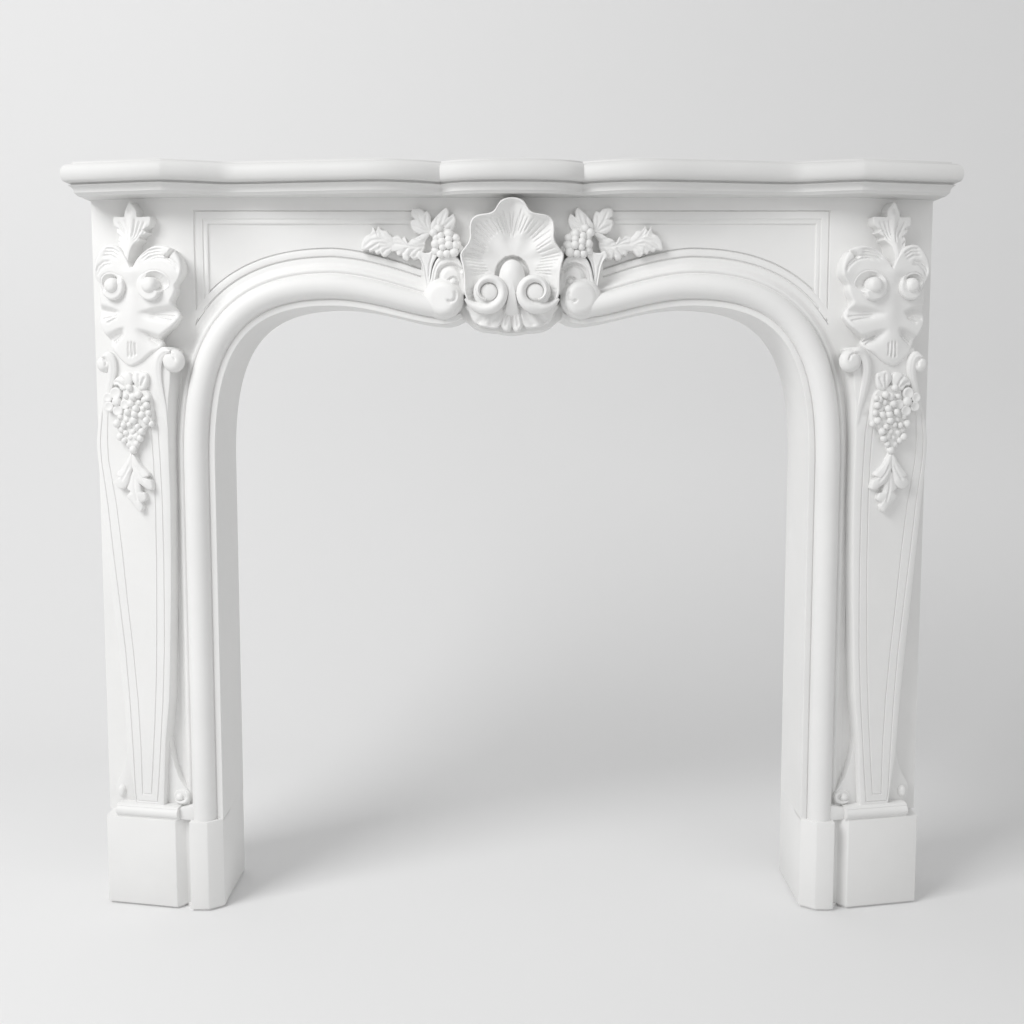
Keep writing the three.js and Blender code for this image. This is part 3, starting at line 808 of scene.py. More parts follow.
# Leaves of the left spray: outline, middle, rise and veins
SPRAY_LEAVES = (
    ([(-144, 17), (-137, 15.5), (-130, 17.5), (-126, 21), (-121, 20), (-117, 28), (-116, 39), (-117, 50),
      (-126, 52), (-133, 53), (-142, 48), (-146, 39), (-145, 33), (-140.5, 31.5), (-145, 26)],
     (-128, 35), 11,
     [[(-120, 50), (-131, 36), (-138, 20)], [(-120, 50), (-124, 36), (-123, 24)],
      [(-122, 50), (-134, 44), (-143, 40)]]),
    ([(-113, 33), (-108, 27), (-103, 22), (-94.5, 15.5), (-90.5, 21), (-90.5, 29), (-84, 24.5),
      (-80.5, 33), (-83, 43), (-90, 52), (-99, 54), (-109, 55), (-116, 48), (-117, 40)],
     (-99, 38), 15,
     [[(-108, 50), (-101, 36), (-95, 20)], [(-106, 50), (-94, 40), (-84, 30)],
      [(-104, 52), (-93, 48), (-86, 44)], [(-110, 48), (-108, 38), (-106, 28)]]),
    ([(-128, 78), (-133, 86), (-142, 89), (-147, 85), (-151, 90), (-157, 88), (-159, 82), (-165, 83),
      (-168, 77), (-174, 77), (-180, 70), (-179, 62), (-170, 56), (-163, 55.5), (-160, 61), (-155, 56),
      (-150, 64), (-145, 60), (-137, 57), (-128, 52), (-117, 51), (-124, 62), (-125, 70)],
     (-148, 72), 11,
     [[(-124, 70), (-140, 72), (-158, 68), (-178, 66)], [(-150, 70), (-158, 64), (-168, 60)],
      [(-136, 72), (-144, 66), (-152, 63)], [(-150, 72), (-156, 78), (-160, 80)],
      [(-138, 73), (-146, 79), (-150, 85)], [(-128, 73), (-136, 79), (-142, 86)],
      [(-126, 66), (-132, 60), (-140, 60)]]),
    ([(-217, 75), (-216, 64), (-211, 56), (-203, 51), (-200.5, 42), (-196, 48), (-192, 41.5),
      (-187, 47), (-180, 48), (-175, 54), (-169, 61), (-169, 71), (-176, 79), (-181, 84), (-187, 84),
      (-190, 79.5), (-195, 81), (-199, 76.5), (-205, 78), (-208, 74.5)],
     (-191, 64), 11.5,
     [[(-172, 66), (-186, 60), (-202, 62), (-214, 72)], [(-180, 61), (-194, 52), (-204, 56)],
      [(-178, 68), (-192, 66), (-206, 74)], [(-176, 70), (-188, 71), (-197, 77)],
      [(-174, 72), (-182, 75), (-187, 81)], [(-184, 58), (-190, 51), (-192, 45)]]),
)
# Grapes of the left spray: place, drop below the shelf, rise of the middle
SPRAY_GRAPES = (
    (-112, 52, 22), (-105, 46, 20), (-101.5, 57, 26), (-91, 54, 24), (-100, 65, 27), (-90.5, 62, 27),
    (-109, 68, 23), (-99, 73, 27), (-90, 70, 28), (-81, 60, 22), (-78, 69, 23), (-83, 80, 26),
    (-93, 82, 27), (-102, 82.5, 25), (-82, 71, 25), (-108, 59, 22), (-109, 77, 20), (-75, 75, 18),
)


def carved_leaf(bm, place, outline, centre, rise, veins, base=-8, depth=1.5, rings=20, dome=3.5):
    """Leaf with a scalloped edge and incised veins"""

    def face(a, b, f, t):
        return rise + dome * (1 - f * f) - cuts((a, b), veins, 2.6, depth)

    relief(bm, place, spline(outline, 5, True), centre, base, face, rings=rings, arris=2.2)


def vine_spray(bm, lay):
    """Grapes, leaves, cup and scroll beside the shell"""
    place = lay.on_frieze
    radius = lay.carving.grape / MM
    for outline, centre, rise, veins in SPRAY_LEAVES:
        carved_leaf(bm, place, outline, centre, rise, veins)
    for k, (x, drop, rise) in enumerate(SPRAY_GRAPES):
        ball(bm, place, x, drop, rise, radius * (0.92 + 0.12 * math.sin(k * 2.4)))
    core = spline([(-113, 48), (-98, 44), (-84, 50), (-74, 64), (-75, 80), (-90, 88), (-106, 86),
                   (-113, 68)], 4, True)
    relief(bm, place, core, (-94, 67), -8, lambda a, b, f, t: 24 - 3 * f, rings=6, arris=3)
    cup = spline([(-121.5, 137), (-125, 116), (-129, 98), (-132, 91), (-137, 84), (-133.5, 77.5),
                  (-126, 80), (-117, 79), (-112, 73), (-107.5, 77), (-107, 84), (-113, 95),
                  (-117, 113), (-119, 137)], 6, True)
    lines = [[(-131, 84), (-125, 100), (-121.5, 125)], [(-113, 80), (-118, 96), (-120, 118)]]
    relief(bm, place, cup, (-121, 96), -8,
           lambda a, b, f, t: 22 - cuts((a, b), lines, 2.2, 1.8), rings=18, arris=2.6)
    spray_scroll(bm, place)


def spray_scroll(bm, place):
    """Scroll below the grapes, hollowed round its eye"""
    scroll = spline([(-117, 140), (-116, 113), (-112, 98), (-106, 88), (-94, 83), (-82, 84.5),
                     (-73, 94), (-69, 112), (-68, 140)], 7, True)
    gap = spline([(-106, 124), (-106, 113), (-102, 103), (-91, 97.5), (-82, 99), (-74, 105)], 4)
    ring = spline([(-112, 126), (-112, 113), (-108, 100), (-101, 92), (-91, 89), (-82, 91),
                   (-75, 98)], 4)
    curl = spline([(-92.5, 126), (-90.5, 119), (-85, 115.5), (-79, 118), (-77, 124)], 4)

    def face(a, b, f, t):
        p = (a, b)
        away, along = reach_to(p, gap)
        inside = step((13.5 - math.hypot((a + 88) / 1.15, (b - 118) / 1.35)) / 5)
        height = 25 + 3.0 * inside
        height -= 6.0 * notch(away, 3.6) * step(along * 8 + 0.3)
        height -= cuts(p, [ring], 1.9, 1.0) + 3.2 * notch(reach_to(p, curl)[0], 2.2)
        return height

    relief(bm, place, scroll, (-91, 115), -8, face, rings=40, arris=3.5)
    ball(bm, place, -84, 122, 26, 5.2)


# Jamb

def console_sizes(lay, z):
    """Inner edge, outer edge and rise of the console at a height"""
    up = (z - lay.plinth) / (lay.under - lay.plinth)
    inner = blend([(0.0, 28), (0.13, 21), (0.2, 13), (0.265, 10), (0.364, 6), (0.43, 4), (0.52, 2),
                   (0.62, 2), (0.655, 0.8), (0.685, -1), (0.71, -4.5), (0.732, -6), (0.742, -3),
                   (0.765, 16)], up)
    outer = blend([(0.0, 71), (0.1, 83), (0.2, 88), (0.265, 93), (0.364, 101), (0.43, 106), (0.52, 112),
                   (0.6, 117), (0.618, 117), (0.64, 114), (0.66, 109.5), (0.68, 104), (0.7, 99), (0.72, 95),
                   (0.738, 93), (0.764, 90)], up)
    rise = blend([(0.0, 25), (0.43, 25.5), (0.52, 27), (0.62, 29), (0.67, 31), (0.72, 32)], up)
    return inner, outer, rise


# Height above the floor of the lower ends of the two pairs of incised lines
OUTER_START = 161.2
INNER_START = 172.2
# Each incised line from the inner to the outer one: its start, then (height, place on the cant)
CONSOLE_LINES = (
    (OUTER_START, [(161, 37), (211, 32), (273, 27), (318, 23), (394, 18.5), (469, 16.5), (528, 15.5),
                   (617, 14.5), (675, 15.5), (719, 17), (760, 22)]),
    (INNER_START, [(172, 46.5), (226, 42), (287, 37), (348, 33), (394, 31), (469, 28.5), (528, 27),
                   (617, 25.5), (675, 26), (719, 28), (760, 33)]),
    (INNER_START, [(172, 61), (240, 61), (316, 63.5), (392, 69), (467, 76), (541, 82), (608, 88),
                   (674, 98), (704, 98.5), (736, 96), (760, 92)]),
    (OUTER_START, [(161, 72), (239, 74), (316, 77), (391, 81.5), (466, 89), (534, 96), (608, 102),
                   (674, 109.5), (704, 110), (745, 104), (760, 100)]),
)


def console(bm, lay):
    """Tapering raised face with two pairs of incised lines"""
    groove = lay.carving.groove / MM
    low, high = lay.plinth + 14, lay.under - 216
    count = 110
    line_end = 748
    heights = sorted([low + (high - low) * k / count for k in range(count + 1)]
                     + [160, OUTER_START, 162.4, 171, INNER_START, 173.4])

    def row(z):
        """Section of the console at a height, as (place on the cant, rise)"""
        inner, outer, rise = console_sizes(lay, z)
        lines = [max(inner + 3.6 + 3.2 * k, min(outer - 13.2 + 3.2 * k, blend(table, z)))
                 for k, (_, table) in enumerate(CONSOLE_LINES)]
        spots = [(inner, -12), (inner, rise - 2.2), (inner + 0.7, rise - 0.7), (inner + 2.2, rise)]
        for line, (start, _) in zip(lines, CONSOLE_LINES):
            depth = groove * step((line_end - z) / 6) if z >= start else 0.0
            spots += [(line - 1.3, rise), (line - 0.5, rise - depth),
                      (line + 0.5, rise - depth), (line + 1.3, rise)]
        spots += [(outer - 2.2, rise), (outer - 0.7, rise - 0.7), (outer, rise - 2.2), (outer, -12)]
        for k, (s, _) in enumerate(spots):
            between_outer = lines[0] - 1 < s < lines[3] + 1 and abs(z - OUTER_START) < 0.1
            between_inner = lines[1] - 1 < s < lines[2] + 1 and abs(z - INNER_START) < 0.1
            if between_outer or between_inner:
                spots[k] = (s, rise - groove)
        return spots

    rows = [row(z) for z in heights]

    def at(i, j):
        s, n = rows[j][i % len(rows[j])]
        return lay.on_jamb(s, heights[j], n)

    patch(bm, len(rows[0]), len(heights) - 1, at)
    close_holes(bm)


def console_top(bm, lay):
    """Scroll bands at the head of the console"""
    inner = ((-12, 234.4), 16.7,
             [(-10, 221), (-1, 221), (7, 227), (12.5, 240), (13, 258), (10, 279), (5.5, 302), (3.4, 330)],
             [(-3, 224), (-9, 223), (-16, 227), (-19, 234)])
    outer = ((97, 239), 12.5,
             [(97, 228), (90, 227), (85, 233), (83.5, 244), (86, 258), (92, 275), (99, 293), (105, 312)],
             [(95, 231), (91, 235), (91, 242)])

    def half_width(t):
        return 2.5 + 4.6 * step(t * 6) - 6.2 * t * t * t

    def underside(t):
        return -6 + 32 * step(t * 2 - 1)

    def band_face(t, v):
        return 42 - 4.2 * (1 - t) * v * v - 12.6 * t ** 2 - notch(abs(v - 0.35), 0.12) * (1 - t)

    for centre, radius, band, mark in (inner, outer):
        blade(bm, lay.hung, spline(band, 10), half_width, underside, band_face, across=14)
        tuck = lambda a, b: (centre[0] + (a - centre[0]) * 0.62 + 4, centre[1] + (b - centre[1]) * 0.8)
        bulb = lambda a, b, f, t: 43 - 3 * f * f - cuts((a, b), [mark], 2.4, 2.6)
        relief(bm, lay.hung, circle(centre, radius, 56), centre, 12, bulb, rings=26, arris=9, foot=tuck)


def console_foot(bm, lay):
    """Bar, side flares and small scrolls at the foot of the console"""
    up = lambda s, z, n: lay.on_jamb(s, lay.plinth + z, n)
    bar = [(0, -10), (0, 27), (1.0, 30.0), (2.2, 30.6), (3.0, 30.2), (4.4, 32.0), (7, 33.6),
           (10, 34.2), (13, 33.6), (15.6, 32.0), (17.0, 30.2), (17.8, 30.6), (19.4, 29.6),
           (20.4, 27), (21, 25), (21, -10)]
    sweep(bm, up, [(2, -1), (101, -1)], bar, normals=[(0, 1), (0, 1)])
    slab(bm, up, [(-21, -1), (4, -1), (4, 17), (-4, 18.5), (-12, 21), (-21, 22)], -10, 24, 2.4)
    flares = (
        [(34, 13), (32, 130), (22, 124), (19, 104), (14, 80), (6, 58), (-4, 44), (-10, 35), (-9, 24),
         (-3, 14)],
        [(72, 13), (78, 135), (87, 128), (90, 104), (94, 80), (101, 62), (109, 48), (112, 38),
         (109, 24), (102, 14)],
    )
    for flare in flares:
        slab(bm, up, spline(flare, 4, True), -10, 13, 1.2)
    centre = (3, 32)
    wide = 13.0
    high = 10.5
    button(bm, up, centre, wide, 60, -10, 15, 0, rings=5, arris=2, squash=high / wide)
    ring = [(centre[0] + (wide - 2) * math.cos(a), centre[1] + (high - 2) * math.sin(a))
            for a in (math.radians(125 + 5.5 * k) for k in range(36))]
    blade(bm, up, ring, lambda t: 3.0 * math.sin(math.pi * (0.08 + 0.84 * t)) ** 0.5, 0,
          lambda t, v: 19.5 - 2.4 * v * v, across=8)
    button(bm, up, (5.5, 31), 6.2, 36, 0, 20.5, 2, rings=12, arris=3.5, squash=0.95)
    button(bm, up, (101, 34), 6.5, 36, 0, 20, 2, rings=14, arris=4.5, squash=1.4)


# Corner shell of the left jamb, as (place on the cant, drop below the shelf)
CORNER_SHELL = [
    (46, 101), (54, 88), (61, 78), (69, 71.5), (80, 68.5), (90, 71), (98, 79), (104, 90), (107, 104),
    (104.5, 116), (100, 124), (101.5, 133), (102, 143), (101, 151), (104.5, 159), (105, 168),
    (103, 179), (98, 191), (92, 201), (90.5, 208), (85, 217), (76, 227), (66, 237), (56, 242),
    (46, 239.5), (36, 234), (28, 227.5), (20, 222), (13, 219), (8, 214), (7.5, 208), (10, 203),
    (4, 197.5), (-3, 192), (-11, 186), (-17, 178.5), (-20, 171.5), (-17, 163.5), (-12.5, 156),
    (-11.5, 149), (-15, 142), (-18, 134), (-18.5, 126), (-24, 119), (-29, 111), (-30, 101),
    (-27, 90.5), (-20, 80), (-10, 73.5), (3, 71), (16, 73), (28, 80), (38, 90),
]
# Scroll eyes: ball, its radius, side that the bearings turn to, radius of the disc and of its
# hollow by bearing in degrees, with 0 away from the middle of the shell and 90 straight up
SHELL_EYES = (
    {"ball": (76, 127), "size": 11.0, "out": 1,
     "disc": [(-180, 19), (-90, 20.5), (-60, 19.5), (-40, 18.5), (-25, 20), (-8, 23), (15, 24.5),
              (45, 24), (75, 21.5), (105, 19), (135, 18.5), (180, 19)],
     "hollow": [(-66, 10), (-50, 10), (-35, 12), (-20, 15), (15, 20.5), (45, 20), (75, 17.5),
                (105, 14.5), (132, 10)]},
    {"ball": (17.5, 127), "size": 11.6, "out": -1,
     "disc": [(-180, 19.5), (-90, 22), (-60, 21), (-40, 18.5), (-25, 20), (-8, 28), (10, 31), (25, 30),
              (50, 27), (75, 24), (105, 21.5), (135, 20), (180, 19.5)],
     "hollow": [(-66, 10), (-50, 13), (-35, 15), (-20, 20), (0, 27), (25, 26), (50, 23), (75, 20),
                (105, 17), (135, 10)]},
)
# Each scoop between two lobes: inner end, outer end, half width, depth
SHELL_SCOOPS = (
    ((38, 167), (-20, 163), 12.0, 10.0),
    ((68, 165), (103, 161), 10.5, 9.0),
    ((43, 190), (4, 208), 11.0, 8.5),
    ((61, 187), (89, 204), 10.0, 8.0),
)
SHELL_RAYS = [
    [(24, 168.5), (4, 170), (-16, 171.5)], [(23, 172), (2, 175), (-12, 178)],
    [(73, 169), (99, 174.5)], [(73, 172), (90, 180)],
    [(30, 198), (14, 205), (3, 211)], [(27, 202), (12, 212)],
    [(65, 193), (84, 208)], [(63, 196), (81, 211.5)],
    [(55, 206), (56.5, 230)], [(50, 206), (50.5, 230)], [(45, 208), (45, 227)],
]
SHELL_GADROONS = [
    [(31.8, 87), (21.6, 79.6), (9.3, 76.9), (-0.9, 76.9)], [(30, 90.5), (19.5, 83), (7.3, 80.7), (-1, 81)],
    [(26, 93), (15.5, 87.2), (5.2, 85), (-3, 86), (-11, 88.7), (-21.4, 97.5), (-25.4, 106.4)],
    [(15.5, 91), (7.3, 89), (-0.9, 89.6), (-11, 93.2), (-20.5, 101), (-24.4, 109)],
    [(88, 74.5), (75, 75), (64.5, 81.4)], [(90, 79), (76, 79.3), (66, 85.5)],
    [(92, 84), (79, 84), (69, 89.5)], [(102.4, 108), (99.3, 99.3), (91, 93.3), (78, 91.8)],
    [(101.3, 112), (96.5, 103), (88.5, 97.6), (77, 96.2)],
]


def shell_ground(lay, a, b):
    """Face of the corner shell: crowned, scooped between its lobes, with fine lines"""
    flute = lay.carving.flute / MM
    p = (a, b)
    crown = max(0.0, 1 - ((a - 46) / 66) ** 2 - ((b - 158) / 92) ** 2)
    height = 35 + 3.5 * crown + 4.5 * step((132 - b) / 26)
    height += 2.5 * math.exp(-((a - 47) / 13) ** 2) * step((b - 95) / 15) * step((200 - b) / 40)
    height -= 3.0 * math.exp(-(math.hypot(a - 76, b - 127) / 17) ** 2)
    height -= sum(scoop(p, *rows) for rows in SHELL_SCOOPS)
    height += 2.5 * math.exp(-(math.hypot(a - 50, (b - 214) * 0.6) / 14) ** 2)
    height -= cuts(p, SHELL_RAYS, 2.3, flute * 1.75)
    if b < 118:
        height -= cuts(p, SHELL_GADROONS, 2.5, flute * 1.35)
        height -= 9.0 * notch(reach_to(p, [(-8, 87), (-17, 78)])[0], 3.6)
    return height


def eye_place(eye, a, b):
    """Distance of a point from the ball of an eye, and its bearing"""
    da = a - eye["ball"][0]
    db = b - eye["ball"][1]
    return math.hypot(da, db), math.degrees(math.atan2(-db, da * eye["out"]))


def corner_shell(bm, lay):
    """Shell with two scroll eyes above scalloped lobes"""

    def face(a, b, f, t):
        height = shell_ground(lay, a, b)
        for eye in SHELL_EYES:
            away, bearing = eye_place(eye, a, b)
            height -= 14 * step((blend(eye["disc"], bearing) - 1.5 - away) / 3)
        return height

    relief(bm, lay.hung, spline(CORNER_SHELL, 7, True), (46.0, 158.0), -10, face, rings=72, arris=4.5,
           foot=lambda a, b: (a + 13 * step((62 - a) / 62), b + 9 * step((b - 186) / 40)))
    for eye in SHELL_EYES:
        shell_eye(bm, lay, eye)


def shell_eye(bm, lay, eye):
    """Scroll that stands proud below its ball and runs out into the shell above it"""
    centre = eye["ball"]
    proud = 46.5
    hollow_depth = 8.0
    count = 120
    outline = []
    for k in range(count):
        bearing = -180 + 360 * k / count
        radius = blend(eye["disc"], bearing)
        outline.append((centre[0] + eye["out"] * radius * math.cos(math.radians(bearing)),
                        centre[1] - radius * math.sin(math.radians(bearing))))

    def face(a, b, f, t):
        away, bearing = eye_place(eye, a, b)
        ground = shell_ground(lay, a, b)
        merge = step((bearing + 42) / 24) * step((165 - bearing) / 50)
        height = proud + (ground + 0.3 - proud) * merge
        reach = blend(eye["hollow"], bearing)
        if reach > 10.5:
            inside = max(0.0, min(1.0, (reach - away) / (reach - 9.5)))
            ends = step((bearing + 48) / 56) * step((150 - bearing) / 40)
            height -= hollow_depth * inside ** 0.6 * ends
            ribs = notch(abs(bearing - 24), 7.0) + notch(abs(bearing - 38), 7.0)
            height += 0.5 * ribs * step(inside * 3) * step((away - 13) / 5)
        return height

    relief(bm, lay.hung, outline, centre, 10, face, rings=44, arris=3.5)
    button(bm, lay.hung, centre, eye["size"], 48, 10, 52.5, 2.5, rings=18, arris=6.5)


def finial_leaf(bm, lay):
    """Upright leaf above the corner shell"""
    points = [(56, 7), (60.5, 12), (65.2, 20), (67, 27), (75, 27.5), (84, 27.5), (84.5, 38), (80.5, 44),
              (79.5, 51), (75, 56), (75, 63), (72, 70), (69, 80), (60, 97), (53, 98), (51, 80), (49, 69),
              (42, 61), (43, 57), (34, 51), (37, 46), (28, 40), (26, 29), (36, 28), (46, 28),
              (46.8, 20), (51.2, 12)]
    veins = [[(66, 30), (59, 50), (57, 66)], [(49, 31), (53, 58)], [(42, 33), (50.5, 60)],
             [(35, 34), (49, 64)], [(29, 40), (48, 68)], [(76, 34), (62, 58)], [(83, 42), (76, 46)],
             [(79, 52), (70, 58)], [(74, 63), (67, 69)]]

    def face(a, b, f, t):
        lean = abs(a - 56)
        rise = 21 + 16 * step((b - 46) / 44)
        rise -= 3.4 * math.exp(-(math.hypot(a - 57, (b - 19) * 0.7) / 3.6) ** 2)
        return rise + 2.5 * math.exp(-(lean / 6) ** 2) - 0.06 * lean - cuts((a, b), veins, 2.2, 2.2)

    relief(bm, lay.hung, spline(points, 5, True), (56, 54), -10, face, rings=36, arris=2)


# Grapes of the left jamb, as (place on the cant, drop below the shelf)
JAMB_GRAPES = (
    (56, 273), (41, 283), (62, 285), (50, 286), (27, 288), (54, 296), (41, 294), (29, 298), (46, 303),
    (36, 303), (48, 311), (26, 309), (38, 312), (72, 315), (59, 308), (31, 320), (24, 325), (77, 325),
    (57, 326), (71, 333), (44, 329), (38, 336), (64, 338), (52, 336), (73, 344), (57, 345), (48, 343),
    (67, 349), (42, 346), (61, 355), (48, 354), (54, 363), (62, 319), (50, 320), (66, 327), (33, 290),
)
# Two leaves at the head of the bunch: outline, middle and veins
BUNCH_LEAVES = (
    ([(73, 256), (66, 251), (57, 251), (52, 258), (53, 268), (61, 275), (69, 277), (75, 270), (82, 269),
      (80, 261)], (65, 263), [[(60, 272), (64, 262), (70, 256)], [(64, 272), (72, 266), (79, 264)]]),
    ([(51, 254), (44, 248), (36, 250), (28, 253), (27, 264), (31, 274), (39, 277), (46, 271), (52, 262)],
     (40, 262), [[(42, 274), (40, 262), (41, 252)], [(38, 272), (34, 264), (31, 257)]]),
)


def grape_drop(bm, lay):
    """Bunch of grapes with a flower and leaves at its head"""
    radius = lay.carving.grape / MM * 0.8
    for k, (s, drop) in enumerate(JAMB_GRAPES):
        lift = 39 + 1.8 * math.sin(k * 1.9) - 0.0026 * (s - 50) ** 2 - (max(0, drop - 325) * 0.12)
        ball(bm, lay.hung, s, drop, lift, radius * (0.95 + 0.16 * math.sin(k * 2.7)))
    core = spline([(64, 268), (30, 276), (22, 296), (22, 322), (32, 330), (44, 350), (54, 368),
                   (64, 356), (78, 338), (80, 320), (72, 300)], 5, True)
    relief(bm, lay.hung, core, (52, 312), 0, lambda a, b, f, t: 39.6 - 3 * f, rings=8, arris=3)
    bloom = (76.5, 293)
    petals = ((78, 281, 8.8), (90.5, 287, 7.4), (89, 300, 7.6), (75, 306, 8.2), (63.5, 297, 7.6))
    button(bm, lay.hung, bloom, 14, 40, 0, 35, 0, rings=5, arris=2)
    for s, drop, size in petals:
        button(bm, lay.hung, (s, drop), size, 28, 0, 39.5, -2.2, rings=12, arris=3.2)
    button(bm, lay.hung, bloom, 7.2, 28, 0, 44, 2, rings=10, arris=3.5)
    for outline, centre, veins in BUNCH_LEAVES:
        carved_leaf(bm, lay.hung, outline, centre, 38, veins, base=0, depth=2.2, rings=16, dome=3.0)


# Hanging leaves of the left jamb: outline, middle, rise and veins
PENDANT_LEAVES = (
    ([(57, 368), (68, 383), (81.5, 398.5), (78.5, 403), (84, 408), (83, 415), (77.5, 420),
      (69, 419), (62, 411), (58, 397), (54.5, 382)], (67, 403), 37, [[(59, 384), (66, 398), (73, 408)]]),
    ([(55, 368), (43, 385), (30, 398), (34.5, 403), (27, 407.5), (24.5, 418), (30, 421),
      (38, 417), (48, 410), (54, 398), (57.5, 382)], (42, 404), 37, [[(52, 384), (45, 398), (35, 409)]]),
    ([(56, 392), (64, 411), (66.5, 419), (62, 423), (67, 432), (60, 440), (51, 450), (45.5, 453.5),
      (41, 446), (43, 440), (36, 435), (37.5, 426), (43, 424), (45, 414), (52, 396)], (52, 426), 35.5,
     [[(54, 402), (53, 420), (49, 440)]]),
)


def leaf_pendant(bm, lay):
    """Three leaves that hang from the bunch"""
    for outline, centre, rise, veins in PENDANT_LEAVES:
        carved_leaf(bm, lay.hung, outline, centre, rise, veins, base=0, depth=1.3, rings=24, dome=3.0)
    sheath = [(56, 362), (62, 371), (66, 380), (56, 392), (47, 381), (51, 371)]
    relief(bm, lay.hung, spline(sheath, 5, True), (56, 378), 0,
           lambda a, b, f, t: 36 - 2 * f * f, rings=8, arris=3)


def jamb_ground(bm, lay):
    """Canted ground and the core behind the roll moulding"""
    corner = lay.on_jamb(lay.jamb_wide, 0, 0) / MM
    outer = (corner.x, lay.back - corner.y)
    plan = [(outer[0], 0), outer, (-lay.jamb_inner, lay.frieze_q), (-lay.joint_x, lay.frieze_q),
            (-lay.joint_x, 0)]
    slab(bm, lay.standing, plan, lay.plinth, lay.under)
    shoulder, _ = arch_line(lay)
    web = [(-lay.joint_x, lay.plinth), (-lay.open_half, lay.plinth)] + shoulder[:SPLIT + 1]
    web.append((-lay.joint_x, lay.joint_z))
    slab(bm, lay.front, web, 0, lay.frieze_q - WEB_BACK)


def plinth_block(bm, lay):
    """Two blocks in one, the inner one chamfered, on a foot set back for a shadow line"""
    block = lay.jamb_outer - CORNER_IN
    inner = lay.jamb_inner
    reveal = lay.reveal_q
    opening = lay.open_half
    shadow_line = 3.2
    base = [(-block, 0), (-block, reveal - 16), (-inner - 12.5, reveal + 9), (-inner, reveal - 5),
            (-inner + 10, reveal - 5), (-inner + 10, reveal + 17), (-opening - 20.5, reveal + 17),
            (-opening, reveal + 0.5), (-opening, 0)]
    slab(bm, lay.standing, base, shadow_line, lay.plinth, 1.3)
    foot = [(-block + 3, 0), (-block + 3, reveal - 20), (-inner - 12.5, reveal + 4),
            (-inner - 2, reveal - 9), (-inner + 13, reveal + 13), (-opening - 22, reveal + 13),
            (-opening - 3, reveal - 3), (-opening - 3, 0)]
    slab(bm, lay.standing, foot, 0, shadow_line + 1.8)


def jamb_moulding(bm, lay):
    """Roll moulding of the jamb, with the outer band cut off at the joint"""
    shoulder, _ = arch_line(lay)
    points = [(-lay.open_half, lay.plinth - 2)] + shoulder[:SPLIT + 1]
    normals = [(-1.0, 0.0)] + normals_of(shoulder)[:SPLIT + 1]
    sweep(bm, lay.front, points, moulding_profile(lay, [(64, -WEB_BACK)]), normals)
    before = set(bm.verts)
    band = [(reach, lay.frieze_q + rise) for reach, rise in [(61.5, -WEB_BACK), (61.5, -0.4)] + BAND]
    sweep(bm, lay.front, shoulder[12:SPLIT + 1], band, normals_of(shoulder)[12:SPLIT + 1])
    fresh = [v for v in bm.verts if v not in before]
    edges = list({e for v in fresh for e in v.link_edges})
    faces = list({f for v in fresh for f in v.link_faces})
    cut = bmesh.ops.bisect_plane(bm, geom=fresh + edges + faces, plane_co=(-lay.joint_x * MM, 0, 0),
                                 plane_no=(-1, 0, 0), clear_outer=True)
    rim = [g for g in cut["geom_cut"] if isinstance(g, bmesh.types.BMEdge)]
    bmesh.ops.holes_fill(bm, edges=rim, sides=0)


# Operators

def build(context, maker, name, slot, covers=(), sides=(None,), **options):
    """Run a maker into one mesh, mirrored for the right side, and hand it over as a piece"""
    made = bmesh.new()
    maker(made, Layout(context.scene))
    for side in sides:
        prefix = f"{side}_" if side else ""
        nodes = [prefix + node for node in covers]
        make_piece(made.copy(), prefix + name, slot, nodes, mirrored=side == "right", **options)
    made.free()


class MANTEL_OT_shelf(bpy.types.Operator):
    """Serpentine shelf with nosing and bed mould"""

    bl_idname = "mantel.shelf"
    bl_label = "Build shelf"

    def execute(self, context):
        build(context, make_shelf, "shelf_stone_piece", "shelf_stone", ["mantel_shelf"], sharp=32.0)
        return {"FINISHED"}


class MANTEL_OT_frieze(bpy.types.Operator):
    """Frieze with panels and the roll moulding over the opening"""

    bl_idname = "mantel.frieze"
    bl_label = "Build frieze"

    def execute(self, context):
        def maker(bm, lay):
            frieze_ground(bm, lay)
            panel_frame(bm, lay)
            for side in (-1, 1):
                arch_moulding(bm, lay, side)
                roll_end(bm, lay, side)

        build(context, maker, "frieze_stone_piece", "carved_stone", ["frieze"])
        return {"FINISHED"}


class MANTEL_OT_centre_shell(bpy.types.Operator):
    """Shell in the middle of the frieze, with its scrolls and apron leaf"""

    bl_idname = "mantel.centre_shell"
    bl_label = "Carve centre shell"

    def execute(self, context):
        def maker(bm, lay):
            centre_shell(bm, lay)
            shell_scrolls(bm, lay)
            shell_apron(bm, lay)

        build(context, maker, "centre_shell", "carved_stone")
        return {"FINISHED"}


class MANTEL_OT_sprays(bpy.types.Operator):
    """Vine sprays on both sides of the centre shell"""

    bl_idname = "mantel.sprays"
    bl_label = "Carve vine sprays"

    def execute(self, context):
        build(context, vine_spray, "vine_spray", "carved_stone", sides=("left", "right"))
        return {"FINISHED"}


class MANTEL_OT_jambs(bpy.types.Operator):
    """Canted jambs with plinths, roll moulding and console"""

    bl_idname = "mantel.jambs"
    bl_label = "Build jambs"

    def execute(self, context):
        def maker(bm, lay):
            jamb_ground(bm, lay)
            plinth_block(bm, lay)
            jamb_moulding(bm, lay)
            console(bm, lay)
            console_top(bm, lay)
            console_foot(bm, lay)

        build(context, maker, "jamb_stone", "carved_stone", ["jamb"], sides=("left", "right"))
        return {"FINISHED"}


